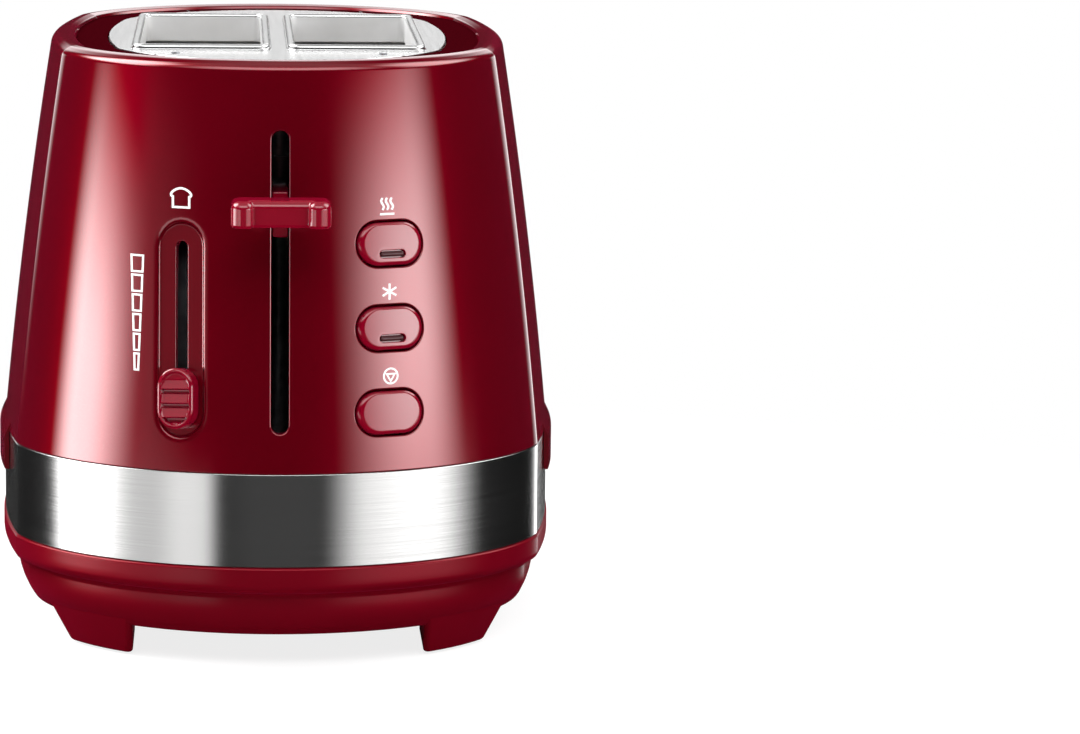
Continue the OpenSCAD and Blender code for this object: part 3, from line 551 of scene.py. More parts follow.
def carried_form(build, profile, tangents, windows=(), closed=True, slots=None):
    """Carries a section round the plan. windows are (rows, half, middle, holes, inset_at, side)."""
    rings = [build.add(*ring(*p, *d)) for p, d in zip(profile, tangents)]
    skips = {}
    for rows, half, middle, holes, inset_at, side in windows:
        ids, skip = window(rings, rows, half, middle)
        for i in range(*rows):
            skips[i] = skips.get(i, set()) | skip
        build.patch((ids, unrolled(build.at(ids), inset_at)), holes, WINDOW_SPACING,
                    lambda uv, f=inset_at, s=side: face_points(uv[:, 0], uv[:, 1], f, s))
    n = len(rings)
    for i in range(n if closed else n - 1):
        build.strip(rings[i], rings[(i + 1) % n], skip=skips.get(i, ()), slot=slots[i] if slots else 0)
    return rings


UPRIGHT = 0.3


def row_at(profile, tangents, z, up):
    """Row of a section at a height, on its rising (up) or falling side."""
    return next(i for i, (p, d) in enumerate(zip(profile, tangents))
                if abs(p[1] - z) < 1e-6 and (d[1] > UPRIGHT) == up and abs(d[1]) > UPRIGHT)


def pillow(build, place, loop, normals, low, high, r_low, r_high, steps=4, top=(None, None)):
    """A closed upright form over a loop, with rounded ends; top gives points and a raised surface."""
    rings = []
    for end, r, sign in ((low, r_low, -1), (high, r_high, 1)):
        for k in range(steps + 1):
            phi = pi / 2 * (1 - k / steps if sign < 0 else k / steps)
            ab = loop - normals * r * (1 - cos(phi))
            facing = place.turned(normals * cos(phi), sign * sin(phi))
            rings.append(build.add(place.at(ab, end - sign * r * (1 - sin(phi))), facing))
    build.tube(rings)
    points, surface = top
    build.patch((rings[0], loop - normals * r_low))
    build.patch((rings[-1], loop - normals * r_high), surface=surface, extra=points)


# Materials, all from nodes
def put(socket, value):
    """Sets a socket, or links it where the value is another node's output."""
    if isinstance(value, bpy.types.NodeSocket):
        socket.id_data.links.new(value, socket)
    else:
        socket.default_value = value


def add_node(tree, kind, inputs=None, **settings):
    """A new shader node with these settings and inputs; gives its outputs."""
    made = tree.nodes.new("ShaderNode" + kind)
    for key, value in settings.items():
        setattr(made, key, value)
    for key, value in (inputs or {}).items():
        put(made.inputs[key], value)
    return made.outputs


def smooth_step(tree, value, start, stop):
    inputs = {"Value": value, "From Min": start, "From Max": stop}
    return add_node(tree, "MapRange", inputs, interpolation_type="SMOOTHSTEP")["Result"]


def shader(name):
    material = bpy.data.materials.new(name)
    material.use_nodes = True
    return material, material.node_tree, material.node_tree.nodes["Principled BSDF"]


def fill(surface, **sockets):
    """Sets or links sockets of a shader; an underscore stands for a space."""
    for key, value in sockets.items():
        put(surface.inputs[key.replace("_", " ")], value)


def noise(tree, scale, detail=3.0, stretch=(1, 1, 1), rough=0.55):
    place = add_node(tree, "TexCoord")["Object"]
    mapped = add_node(tree, "Mapping", {"Vector": place, "Scale": stretch})["Vector"]
    inputs = {"Vector": mapped, "Scale": scale, "Detail": detail, "Roughness": rough}
    return add_node(tree, "TexNoise", inputs)["Fac"]


NOISE_LOW, NOISE_HIGH = 0.3, 0.7


def ramp(tree, value, low, high):
    made = tree.nodes.new("ShaderNodeValToRGB")
    for stop, at, colour in zip(made.color_ramp.elements, (NOISE_LOW, NOISE_HIGH), (low, high)):
        stop.position, stop.color = at, (*colour, 1)
    put(made.inputs["Fac"], value)
    return made.outputs["Color"]


def spread(tree, value, low, high):
    inputs = {"Value": value, "From Min": NOISE_LOW, "From Max": NOISE_HIGH, "To Min": low, "To Max": high}
    return add_node(tree, "MapRange", inputs)["Result"]


def bump(tree, surface, value, strength, distance):
    inputs = {"Strength": strength, "Distance": distance, "Height": value}
    fill(surface, Normal=add_node(tree, "Bump", inputs)["Normal"])


def finish(name, low, high, rough, scale, metallic=0.0, bumps=None, stretch=(1, 1, 1), **fixed):
    """A surface whose colour and roughness wander between two values."""
    material, tree, surface = shader(name)
    value = noise(tree, scale, stretch=stretch)
    fill(surface, Base_Color=ramp(tree, value, low, high), Roughness=spread(tree, value, *rough),
         Metallic=metallic, **fixed)
    if bumps:
        bump(tree, surface, value, *bumps)
    return material


FLAKE_SCALE, FLAKE_SHARE = 5200.0, 0.65
CLOUD_SCALE, CLOUD_SHARE = 24.0, 0.35
FLAKE_ROUGH = 0.05
SHEEN, SHEEN_ROUGH, SHEEN_TINT = 0.12, 0.45, (1.0, 0.03, 0.14, 1)


def lacquer(name, low, high, metallic, rough, coat, coat_rough, coat_ior):
    """Red lacquer: a fine flake under a clear coat."""
    material, tree, surface = shader(name)
    flake, cloud = noise(tree, FLAKE_SCALE, 2.0), noise(tree, CLOUD_SCALE, 2.0)
    part = add_node(tree, "Math", {0: flake, 1: FLAKE_SHARE}, operation="MULTIPLY")[0]
    mix = add_node(tree, "Math", {0: cloud, 1: CLOUD_SHARE, 2: part}, operation="MULTIPLY_ADD")[0]
    fill(surface, Base_Color=ramp(tree, mix, low, high), Metallic=metallic,
         Roughness=spread(tree, flake, rough - FLAKE_ROUGH, rough + FLAKE_ROUGH),
         Coat_Weight=coat, Coat_Roughness=coat_rough, Coat_IOR=coat_ior,
         Specular_IOR_Level=0.0, Specular_Tint=(*high, 1),
         Sheen_Weight=SHEEN, Sheen_Roughness=SHEEN_ROUGH, Sheen_Tint=SHEEN_TINT)
    return material


LINE_DEPTH = 0.00002


def brushed(name, low, high, rough, stretch, anisotropy, turn, lines):
    """Metal with fine lines along the brushing."""
    material, tree, surface = shader(name)
    fine = noise(tree, 1.0, 4.0, stretch, 0.65)
    fill(surface, Base_Color=ramp(tree, fine, low, high), Roughness=spread(tree, fine, *rough),
         Metallic=1.0, Anisotropic=anisotropy, Anisotropic_Rotation=turn,
         Tangent=add_node(tree, "Tangent", direction_type="RADIAL", axis="Z")["Tangent"])
    bump(tree, surface, fine, lines, LINE_DEPTH)
    return material


def board_green(name):
    """Solder mask with copper lanes under it."""
    material, tree, surface = shader(name)
    lanes = add_node(tree, "TexBrick", {
        "Vector": add_node(tree, "TexCoord")["Object"], "Scale": 160.0, "Mortar Size": 0.06,
        "Color1": (0.01, 0.09, 0.035, 1), "Color2": (0.012, 0.12, 0.045, 1),
        "Mortar": (0.05, 0.2, 0.08, 1)})
    fill(surface, Base_Color=lanes["Color"], Roughness=spread(tree, noise(tree, 900.0), 0.3, 0.45))
    return material


# Two colours, metallic, roughness; coat weight, roughness and index
LACQUERS = {
    "shell_red": ((0.156, 0.0002, 0.0060), (0.190, 0.0003, 0.0084), 0.62, 0.32, 1.0, 0.03, 1.6),
    "base_red": ((0.162, 0.0004, 0.0068), (0.195, 0.0005, 0.0088), 0.45, 0.42, 0.35, 0.2, 1.45),
    "control_red": ((0.200, 0.0008, 0.011), (0.240, 0.0012, 0.014), 0.15, 0.36, 1.0, 0.04, 1.6),
}
# Two colours, roughness, stretch of the lines, anisotropy and its turn, strength of the lines
BRUSHED = {
    "band_steel": ((0.52, 0.515, 0.51), (0.66, 0.655, 0.65), (0.17, 0.24), (14, 14, 3400), 0.7, 0.25, 0.05),
    "plate_steel": ((0.68, 0.68, 0.68), (0.74, 0.74, 0.74), (0.23, 0.25), (900, 20, 300), 0.0, 0.0, 0.0),
}
# Two colours, roughness, scale, metallic, bump strength and distance, stretch
FINISHES = {
    "bright_steel": ((0.56, 0.56, 0.57), (0.70, 0.70, 0.71), (0.40, 0.52), 420.0, 1.0),
    "zinc_steel": ((0.30, 0.31, 0.33), (0.42, 0.43, 0.45), (0.32, 0.48), 160.0, 1.0),
    "mica": ((0.30, 0.24, 0.16), (0.48, 0.41, 0.30), (0.35, 0.6), 90.0, 0.0, (0.2, 0.0002)),
    "heating_alloy": ((0.12, 0.09, 0.08), (0.28, 0.20, 0.16), (0.35, 0.55), 300.0, 0.9),
    "copper_winding": ((0.42, 0.14, 0.05), (0.62, 0.26, 0.10), (0.2, 0.35), 1.0, 1.0,
                       (0.5, 0.0001), (60, 60, 4000)),
    "black_plastic": ((0.008, 0.008, 0.009), (0.018, 0.018, 0.02), (0.42, 0.58), 2200.0, 0.0,
                      (0.15, 0.00004)),
    "cream_plastic": ((0.56, 0.51, 0.40), (0.66, 0.61, 0.50), (0.38, 0.5), 700.0),
    "foot_rubber": ((0.010, 0.010, 0.010), (0.022, 0.022, 0.022), (0.7, 0.85), 1500.0, 0.0, (0.3, 0.0001)),
}
MATERIALS = {"circuit_board": board_green("circuit_board")}
for make, rows in ((lacquer, LACQUERS), (brushed, BRUSHED), (finish, FINISHES)):
    for key, row in rows.items():
        MATERIALS[key] = make(key, *row)
MATERIALS["smoked_lens"] = finish(
    "smoked_lens", (0.045, 0.012, 0.014), (0.070, 0.022, 0.025), (0.10, 0.2), 300.0,
    Coat_Weight=0.2, Coat_Roughness=0.05, Specular_IOR_Level=0.15)
# Collar walls: the plate's steel made near white and barely metallic, as painted light so they look brightly
# lit
COLLAR_LIT_STEEL = finish("collar_painted_light", (0.84, 0.84, 0.84), (0.92, 0.92, 0.92), (0.40, 0.50), 60.0, 0.25)
# Ledge inside the rim: the shell's red made far darker and without specular, as painted shade for the dim
# well
LEDGE_SHADE_RED = finish("ledge_painted_shade", (0.028, 0.0005, 0.002), (0.042, 0.001, 0.003), (0.55, 0.66), 900.0,
                   Specular_IOR_Level=0.0)
INK = finish("print_white", (0.90, 0.89, 0.89), (0.97, 0.96, 0.96), (0.45, 0.55), 1800.0)


# Body shell
WINDOW_LOW, WINDOW_TOP, WINDOW_HALF = 68.0, 174.0, 15
SHELL_ROWS = [64.0, 66.0, *np.linspace(WINDOW_LOW, WINDOW_TOP, 27), 177.0, 180.0, 183.0, 185.0]
LEVER_LIP, BUTTON_LIP = 0.55, 0.5
TRACK_EDGE_WIDE, TRACK_EDGE_DEEP = 2.2, 0.7
TRACK_COVE, TRACK_LIP, TRACK_STEPS = 0.65, 0.4, 4


def shell_section():
    corners = [(SEAT_IN, BAND_Z, 0.3), (SEAT_IN, BAND_TOP, 0.25), (0.0, BAND_TOP, 0.4)]
    corners += [(taper(z), z, None) for z in SHELL_ROWS]
    edge, ledge, under = taper(RIM_EDGE_Z), LEDGE_Z - LEDGE_SUNK, LEDGE_Z - LEDGE_T
    corners += [
        (edge, RIM_EDGE_Z, 3.0), (edge + RIM_CREST * 0.55, BODY_H - 0.8, 3.0),
        (edge + RIM_CREST, BODY_H - 0.5, 2.5), (RIM_IN, BODY_H - 1.1, 0.9),
        (RIM_IN + 0.7, ledge, 0.6), (LEDGE_IN, ledge, 0.4),
        (LEDGE_IN, under, 0.3), (inner_wall(under), under, 0.5),
    ]
    corners += [(inner_wall(z), z, None) for z in np.linspace(WINDOW_TOP, WINDOW_LOW, 9)]
    corners += [(SEAT_BACK, BAND_TOP - WALL, 0.5), (SEAT_BACK, BAND_Z, 0.4)]
    return rounded_loop(corners, 5)


def track_rings(place):
    """Sunk racetrack: soft wall, floor, then the lip of the slot in it."""
    loop, normals = stadium(TRACK_W, TRACK_L)
    slot_loop, slot_normals = stadium(TRACK_SLOT_W, TRACK_SLOT_L)
    walls, lips = [], []
    for k in range(TRACK_STEPS + 1):
        phi = pi / 2 * k / TRACK_STEPS
        c, s = cos(phi), sin(phi)
        walls.append((loop - normals * TRACK_COVE * (1 - c), TRACK_FLOOR + TRACK_COVE * (1 - s),
                      place.turned(-normals * c, s)))
        lips.append((slot_loop + slot_normals * TRACK_LIP * (1 - s), TRACK_FLOOR - TRACK_LIP * (1 - c),
                     place.turned(-slot_normals * s, c)))
    deep = (slot_loop, TRACK_FLOOR - 1.0, place.turned(-slot_normals, 0))
    return loop, normals, walls + lips + [deep]


def shell_openings(build):
    """Edges of the lever's slot, the button openings and the slider's track, outside and inside."""
    middle = (LEVER_SLOT_TOP + LEVER_SLOT_LOW) / 2
    lever_place = Place((0, -HALF_L, middle), (1, 0, 0), (0, 0, 1), (0, -1, 0))
    faces = taper, inner_wall
    pairs = [through(build, lever_place, *stadium(LEVER_SLOT_W, LEVER_SLOT_TOP - LEVER_SLOT_LOW, 14, 30),
                     LEVER_LIP, LEVER_LIP, *faces)]
    for row in (-1, 0, 1):
        pairs.append(through(build, button_place(row), *stadium(BUTTON_W, BUTTON_H, 18, 6),
                             BUTTON_LIP, BUTTON_LIP, *faces))
    loop, normals, between = track_rings(slider_place)
    pairs.append(through(build, slider_place, loop, normals, TRACK_EDGE_WIDE, TRACK_EDGE_DEEP,
                         *faces, between))
    return zip(*pairs)


def side_skirt(build, sign):
    """A raised strip low on one side, closed at its two ends."""
    columns = [j for j in range(COLUMNS) if sign * PLAN[j, 0] > 0 and abs(PLAN[j, 1]) < SKIRT_Y]
    columns.sort(key=lambda j: PLAN[j, 1])
    low, top, back, out = BAND_TOP - SKIRT_H, BAND_TOP + 4, -FIT / 2, -SKIRT_T - FIT / 2
    corners = [(back, low, 0.1), (out, low, 0.5), (out, BAND_TOP - 1, 2.0),
               (taper(top) + 0.4, top, 0.3), (taper(top) + WALL / 2, top, 0.1),
               (WALL / 2, BAND_TOP + 0.4, 0.1), (back, BAND_TOP + 0.4, 0.1)]
    points, tangents = rounded_loop(corners, 4)
    rings = [build.add(*ring(*p, *d, columns)) for p, d in zip(points, tangents)]
    for a, b in zip(rings, rings[1:] + rings[:1]):
        build.strip(a, b, closed=False)
    for end, facing in ((0, -1), (-1, 1)):
        cap = build.add(build.at([r[end] for r in rings]), [(0, facing, 0)] * len(rings))
        build.patch((cap, points * [sign, 1]))


def body_shell():
    build = Build()
    section, tangents = shell_section()
    outer, inner = shell_openings(build)
    rows_out = [row_at(section, tangents, z, True) for z in (WINDOW_LOW, WINDOW_TOP)]
    rows_in = [row_at(section, tangents, z, False) for z in (WINDOW_TOP, WINDOW_LOW)]
    windows = [(rows_out, WINDOW_HALF, 0, outer, taper, -1), (rows_in, WINDOW_HALF, 0, inner, inner_wall, -1)]
    # The ledge rows get the darker red, as painted shade inside the rim
    shaded_ledge = [1 if p[0] > RIM_IN + 0.4 and LEDGE_Z - LEDGE_T < p[1] < LEDGE_Z else 0 for p in section]
    carried_form(build, section, tangents, windows, slots=shaded_ledge)
    for sign in (-1, 1):
        side_skirt(build, sign)
    build.piece("shell_dressed", "housing", "shell_red", "body_shell", [MATERIALS["shell_red"], LEDGE_SHADE_RED])


def steel_band():
    build = Build()
    low, top = BAND_Z + FIT / 3, BAND_TOP - FIT / 3
    corners = [(0.0, low, 0.25), (0.0, top, 0.25), (1.0, top, 0.2), (1.0, low, 0.2)]
    carried_form(build, *rounded_loop(corners, 4))
    build.piece("band_dressed", "housing", "band_steel", "steel_band")


# Base
TRAY_GAP_W = 96.0
TRAY_GAP_TOP = FLOOR_Z + 10.5
TRAY_GAP_LOW = FLOOR_Z + 0.2
TRAY_LIP, GLAND_LIP = 0.25, 0.3
GLAND_X = TRAY_GAP_W / 2 + (HALF_W - TRAY_GAP_W / 2) * 0.28
GLAND_Z = 18.2
GLAND_HOLE = 4.9
BASE_WINDOW = (11.3, 23.44)
BASE_WINDOW_IN = (23.44, FLOOR_Z + 0.1)
BASE_HALF, FLOOR_SPACING = 21, 12.0
POST_X, POST_Y, POST_R, POST_TOP = HALF_W - 18, 45.0, 4.5, BAND_Z + 7
POCKET_R, POCKET_TOP = 3.0, FLOOR_Z + 14
FLANGE_X, FLANGE_Y, FLANGE_TOP = 53.75, 89.0, BAND_Z + 1
VENT_X, VENT_L, VENT_W, VENT_PITCH, VENTS = HALF_W - 28.5, 16.0, 3.0, 9.0, 9
LEG_LEAN, LEG_EDGE = 3.5, 1.1


def base_section():
    ledge = [(STEP_IN - 1 - (STEP_IN - 1 + BASE_PROUD) * sin(a),
              STEP_Z + 0.4 + (LEDGE_LOW - STEP_Z) * (1 - cos(a)), None)
             for a in np.linspace(0.12, pi / 2, 8)]
    corners = [(BOWL_IN + 3, LEG_H, None), (BOWL_IN + 0.1, LEG_H, 0.9)]
    corners += [(float(bowl_tuck(z)), z, None) for z in np.linspace(*BASE_WINDOW, 9)]
    corners += [(STEP_IN - 0.7, STEP_Z + 0.25, 0.15)] + ledge
    corners += [(-BASE_PROUD, LEDGE_LOW + 2.5, None), (-BASE_PROUD, BAND_Z, 0.9),
                (SEAT_BACK + 0.5, BAND_Z, 0.3), (SEAT_BACK + 0.5, LEDGE_LOW, 0.8)]
    corners += [(float(bowl_inside(z)), z, None) for z in np.linspace(*BASE_WINDOW_IN, 7)]
    corners += [(float(bowl_inside(FLOOR_Z)), FLOOR_Z, 0.05), (BOWL_IN + 2, FLOOR_Z, None)]
    return rounded_loop(corners, 4, closed=False)


def gland_place():
    inset = float(bowl_tuck(GLAND_Z))
    a = asin(GLAND_X * HALF_W / (HALF_W - inset) / END_R)
    out = (sin(a), cos(a), 0)
    origin = (GLAND_X, -face_y(GLAND_X, inset), GLAND_Z)
    return Place(origin, (-cos(a), sin(a), 0), (0, 0, 1), out, 1)


def leg_loop(z, shrink):
    """Plan loop of one leg at a height, pulled in by shrink."""
    share = (z - PAD_STAND) / (LEG_H + 1 - PAD_STAND)
    front = BOWL_IN + 2 - LEG_LEAN * share
    outer = LEG_X + LEG_W - LEG_SLANT * (1 - z / (LEG_H + 1))
    xs = np.linspace(LEG_X, outer, 7)
    ys = face_y(xs, front)
    back = ys[-1] + LEG_T + LEG_LEAN * share
    corners = [(xs[0], ys[0], 1.6)] + [(x, y, None) for x, y in zip(xs[1:-1], ys[1:-1])]
    corners += [(xs[-1], ys[-1], 2.2), (outer, back, 1.5), (LEG_X, back, 1.5)]
    points, tangents = rounded_loop(corners, 4)
    normals = outward(tangents)
    return points - normals * shrink, normals


def leg(build, sx, sy):
    levels = [(PAD_STAND + LEG_EDGE * (1 - sin(p)), LEG_EDGE * (1 - cos(p)), -sin(p))
              for p in np.linspace(pi / 2, 0, 5)]
    levels += [(z, 0.0, 0.0) for z in np.linspace(3.5, FLOOR_Z + 0.7, 7)]
    flip = np.array([sx, -sy, 1])
    rings = []
    for z, shrink, down in levels:
        points, normals = leg_loop(z, shrink)
        facing = lifted(normals * sqrt(1 - down * down), down - 0.3 * (down == 0))
        rings.append(build.add(lifted(points, z) * flip, facing * flip))
    build.tube(rings)
    for ids in (rings[0], rings[-1]):
        build.patch((ids, build.at(ids)[:, :2]))


def bored(build, x, y, r, z0, z1, sign):
    """A round post (sign 1) or pocket (sign -1) that rises from a sheet to a closed end."""
    loop, normals = circle(r, 24)
    loop = loop + [x, y]
    low, high = build.wall(loop, normals, z0, z1, sign)
    end = build.add(build.at(high), np.tile((0, 0, sign), (len(loop), 1)))
    build.patch((end, loop))
    return low, loop


def base_housing():
    build = Build()
    section, tangents = base_section()
    tray = Place((0, HALF_L, (TRAY_GAP_LOW + TRAY_GAP_TOP) / 2), (-1, 0, 0), (0, 0, 1), (0, 1, 0), 1)
    faces = bowl_tuck, bowl_inside
    outer, inner = zip(
        through(build, tray, *rounded_rect(TRAY_GAP_W, TRAY_GAP_TOP - TRAY_GAP_LOW, 0.6, 3, 4.0),
                TRAY_LIP, TRAY_LIP, *faces),
        through(build, gland_place(), *circle(GLAND_HOLE, 32), GLAND_LIP, GLAND_LIP, *faces))
    rows_out = [row_at(section, tangents, z, True) for z in BASE_WINDOW]
    rows_in = [row_at(section, tangents, z, False) for z in BASE_WINDOW_IN]
    windows = [(rows_out, BASE_HALF, BACK, outer, bowl_tuck, 1),
               (rows_in, BASE_HALF, BACK, inner, bowl_inside, 1)]
    rings = carried_form(build, section, tangents, windows, closed=False)
    under, floor = [], []
    for s in (-1, 1):
        for i in range(VENTS):
            loop, normals = rounded_rect(VENT_L, VENT_W, 1.2, 3)
            loop = loop + [s * VENT_X, (i - (VENTS - 1) / 2) * VENT_PITCH]
            low, high = build.wall(loop, normals, LEG_H, FLOOR_Z, -1)
            under.append((low, loop))
            floor.append((high, loop))
    for sx in (-1, 1):
        for sy in (-1, 1):
            under.append(bored(build, sx * POST_X, sy * POST_Y, POCKET_R, LEG_H, POCKET_TOP, -1))
            floor.append(bored(build, sx * POST_X, sy * POST_Y, POST_R, FLOOR_Z, POST_TOP, 1))
            floor.append(bored(build, sx * FLANGE_X, sy * FLANGE_Y, POST_R, FLOOR_Z, FLANGE_TOP, 1))
            leg(build, sx, sy)
    build.sheet(rings[0], under, FLOOR_SPACING, -1)
    build.sheet(rings[-1], floor, FLOOR_SPACING, 1)
    build.piece("base_dressed", "housing", "base_red", "base_housing")


# Top plate
DOTS = [(39.5, 90.0), (30.5, 104.0)]  # rivet holes, in each corner
DOT_R = 0.75
PLATE_SPACING = 6.0
LIP_EDGE = LIP_FOOT + 0.5


def slot_lip(build, x):
    """The raised lip and turned-down collar of one bread slot."""
    loop, normals = rounded_rect(SLOT_W, SLOT_L, 2.5, 6, 5.0)
    low, under_z, crest = PLATE_TOP - COLLAR_H, PLATE_TOP - PLATE_T, PLATE_TOP + LIP_H
    section, tangents = rounded_loop([
        (LIP_EDGE, PLATE_TOP, None), (LIP_FOOT, PLATE_TOP, 0.4), (LIP_FOOT - 0.3, crest, 1.15),
        (0, crest, 1.1), (0, low, 0.35), (PLATE_T, low, 0.35), (PLATE_T, under_z, 0.5),
        (LIP_EDGE, under_z, None),
    ], 6, closed=False)
    rings = [build.add(lifted(loop + normals * offset + [x, 0], z), lifted(normals * flat, up))
             for (offset, z), (flat, up) in zip(section, outward(tangents))]
    # Slot 1, on the collar walls, is the near-white steel, as painted light
    for a, b, (offset, z) in zip(rings, rings[1:], (section[:-1] + section[1:]) / 2):
        build.strip(a, b, slot=1 if offset < PLATE_T + 0.1 and z < PLATE_TOP - 0.5 else 0)
    edge = loop + normals * LIP_EDGE + [x, 0]
    return (rings[0], edge), (rings[-1], edge)


def top_plate():
    build = Build()
    edge, under_z = LEDGE_IN + FIT, PLATE_TOP - PLATE_T
    corners = [(edge + 1, under_z, None), (edge, under_z, 0.2),
               (edge, PLATE_TOP, 0.3), (edge + 1, PLATE_TOP, None)]
    rings = carried_form(build, *rounded_loop(corners, 4, closed=False), closed=False)
    holes = [slot_lip(build, s * (BRIDGE_W + SLOT_W) / 2) for s in (-1, 1)]
    for x, y in [(sx * x, sy * y) for x, y in DOTS for sx in (-1, 1) for sy in (-1, 1)]:
        loop, normals = circle(DOT_R, 14)
        loop = loop + [x, y]
        holes.append([(ids, loop) for ids in build.wall(loop, normals, PLATE_TOP, under_z, -1)])
    tops, unders = zip(*holes)
    build.sheet(rings[0], unders, PLATE_SPACING, -1)
    build.sheet(rings[-1], tops, PLATE_SPACING, 1)
    build.piece("plate_dressed", "housing", "plate_steel", "top_plate",
                [MATERIALS["plate_steel"], COLLAR_LIT_STEEL])


# Lever knob
KNOB_W, KNOB_D, KNOB_H = 30.7, 17.0, 7.5
KNOB_CROWN = 0.8
KNOB_BACK = -(HALF_L + 1.5)
KNOB_FRONT = KNOB_BACK - KNOB_D
KNOB_LOBE, KNOB_DISH = 7.0, 3.5
STEM_T, STEM_H = 5.0, 14.2
STEM_FRONT = 132.5
STEM_UP = 4.6
STEM_BACK = -112.0


def lever_knob():
    build = Build()
    w, mid, dish = KNOB_W / 2, KNOB_W / 2 - KNOB_LOBE, KNOB_FRONT + KNOB_DISH
    corners = [(-w, KNOB_FRONT, 3.9), (-mid, KNOB_FRONT, 3.0), (-mid, dish, 0.15), (0, dish, None),
               (mid, dish, 0.15), (mid, KNOB_FRONT, 3.0), (w, KNOB_FRONT, 3.9),
               (w, KNOB_BACK, 2.5), (0, KNOB_BACK, None), (-w, KNOB_BACK, 2.5)]
    loop, tangents = rounded_loop(corners, 10)
    flat = Place((0, 0, LEVER_Z), (1, 0, 0), (0, 1, 0), (0, 0, 1))
    pillow(build, flat, loop, outward(tangents), -KNOB_H / 2, KNOB_H / 2 + KNOB_CROWN, 1.1, 2.4, 8)
    for tall, up, start, end in ((STEM_H, STEM_UP - STEM_H / 2, -STEM_BACK, STEM_FRONT),
                                 (KNOB_H - 1.6, -0.2, STEM_FRONT - 6, -(KNOB_BACK - KNOB_D / 2))):
        stem = Place((0, 0, LEVER_Z + up), (1, 0, 0), (0, 0, 1), (0, -1, 0))
        pillow(build, stem, *rounded_rect(STEM_T, tall, 0.8, 4, 4.0), start, end, 0.3, 0.5)
    build.piece("knob_dressed", "bread_carriage", "control_red", "lever_knob")


# Browning thumb: its grip is three steps inside a rim, each over a groove
STEPS = 3
STEP_PITCH, STEP_TREAD, STEP_RISE = 4.4, 2.8, 0.75
STEP_ROWS = (0, 0.04, 0.25, 0.45, 0.6, 0.63, 0.645, 0.695, 0.715, 0.82, 0.92, 0.945, 0.985)
GROOVE_DEEP, GROOVE_WALL = 0.9, 0.3
STEPS_TOP = 5.8
PAN_DEEP, PAN_SLOPE = 0.9, 0.7
RIM_WIDE = 1.0
GRID_HALF, GRID_STEP, END_STEP = 5.6, 0.35, 0.45
THUMB_FOOT = -8.0
NECK_W, NECK_H = 2.7, 8.0
FOOT_W, FOOT_H, FOOT_T = 7.0, 12.0, 1.5


def thumb_edge(ab):
    half = (THUMB_H - THUMB_W) / 2
    return THUMB_W / 2 - np.hypot(ab[:, 0], ab[:, 1] - np.clip(ab[:, 1], -half, half))


def thumb_height(ab):
    """Height of the thumb's face over its rim."""
    pan = np.clip((thumb_edge(ab) - RIM_WIDE) / PAN_SLOPE, 0, 1)
    pan = pan * pan * (3 - 2 * pan)
    down = STEPS_TOP - ab[:, 1]
    tread = np.interp(np.mod(down, STEP_PITCH),
                      [0, STEP_TREAD, STEP_TREAD + GROOVE_WALL, STEP_PITCH - GROOVE_WALL, STEP_PITCH],
                      [0, STEP_RISE, -GROOVE_DEEP, -GROOVE_DEEP, 0])
    steps = np.where((down > 0) & (down < STEPS * STEP_PITCH), tread, 0.0)
    return pan * (steps - PAN_DEEP)


def thumb_points():
    """Rows of points that run along the edges of the steps."""
    teeth = [STEPS_TOP - STEP_PITCH * k - STEP_PITCH * share for k in range(STEPS) for share in STEP_ROWS]
    ends = [*np.arange(STEPS_TOP + 0.4, THUMB_H / 2, END_STEP), *np.arange(-7.8, -THUMB_H / 2, -END_STEP)]
    across = np.arange(-GRID_HALF, GRID_HALF + 0.01, GRID_STEP)
    grid = np.array([(a, b) for b in teeth + ends for a in across])
    return grid[thumb_edge(grid) > RIM_WIDE + 0.12]


def browning_thumb():
    build = Build()
    place = slider_place.moved(0, THUMB_REST)

    def top(ab):
        step = 0.05
        slopes = [(thumb_height(ab - d) - thumb_height(ab + d)) / (2 * step) for d in np.eye(2) * step]
        return place.at(ab, THUMB_TOP + thumb_height(ab)), place.turned(np.stack(slopes, 1), 1)

    pillow(build, place, *stadium(THUMB_W, THUMB_H, 16, 14), THUMB_LOW, THUMB_TOP, 0.3, RIM_WIDE, 6,
           (thumb_points(), top))
    pillow(build, place, *rounded_rect(NECK_W, NECK_H, 0.4, 3), THUMB_FOOT, THUMB_LOW + 1, 0.1, 0.1, 2)
    pillow(build, place, *rounded_rect(FOOT_W, FOOT_H, 0.6, 3), THUMB_FOOT, THUMB_FOOT + FOOT_T, 0.2, 0.2, 2)
    build.piece("thumb_dressed", "browning_slider", "control_red", "browning_thumb")


# Buttons
CAP_W, CAP_H = BUTTON_W - 2 * BUTTON_FIT, BUTTON_H - 2 * BUTTON_FIT
CAP_LOW = -7.0
FLANGE_T = CAP_LOW + 1.2
SHOULDER_WIDE, SHOULDER_END, SHOULDER_FOOT, SHOULDER_DEEP = 0.95, 0.9, 0.35, 1.3
POCKET_LIP, POCKET_FLOOR = 0.25, BUTTON_PROUD - 1.6
LENS_GAP, LENS_ROUND = 0.7, 0.78
PLUNGER_R, PLUNGER_Y, PLUNGER_END = 2.0, 2.0, -10.0
CAP_SPACING = 1.2


def lens_pocket(build, place):
    """The sunk seat of a button's lens; returns its edge."""
    loop, normals = stadium(LENS_W, LENS_H, 10, 8)
    loop = loop + [0, LENS_Y]
    walls = []
    for phi in np.linspace(0, pi / 2, 4):
        ab = loop + normals * POCKET_LIP * (1 - sin(phi))
        t = place.reach(ab, taper) + BUTTON_PROUD - POCKET_LIP * (1 - cos(phi))
        walls.append(build.add(place.at(ab, t), place.turned(-normals * sin(phi), cos(phi))))
    low = place.at(loop, POCKET_FLOOR)
    build.tube(walls + [build.add(low, place.turned(-normals, 0))])
    build.patch((build.add(low, place.turned(normals * 0, 1)), loop))
    return walls[0], loop + normals * POCKET_LIP


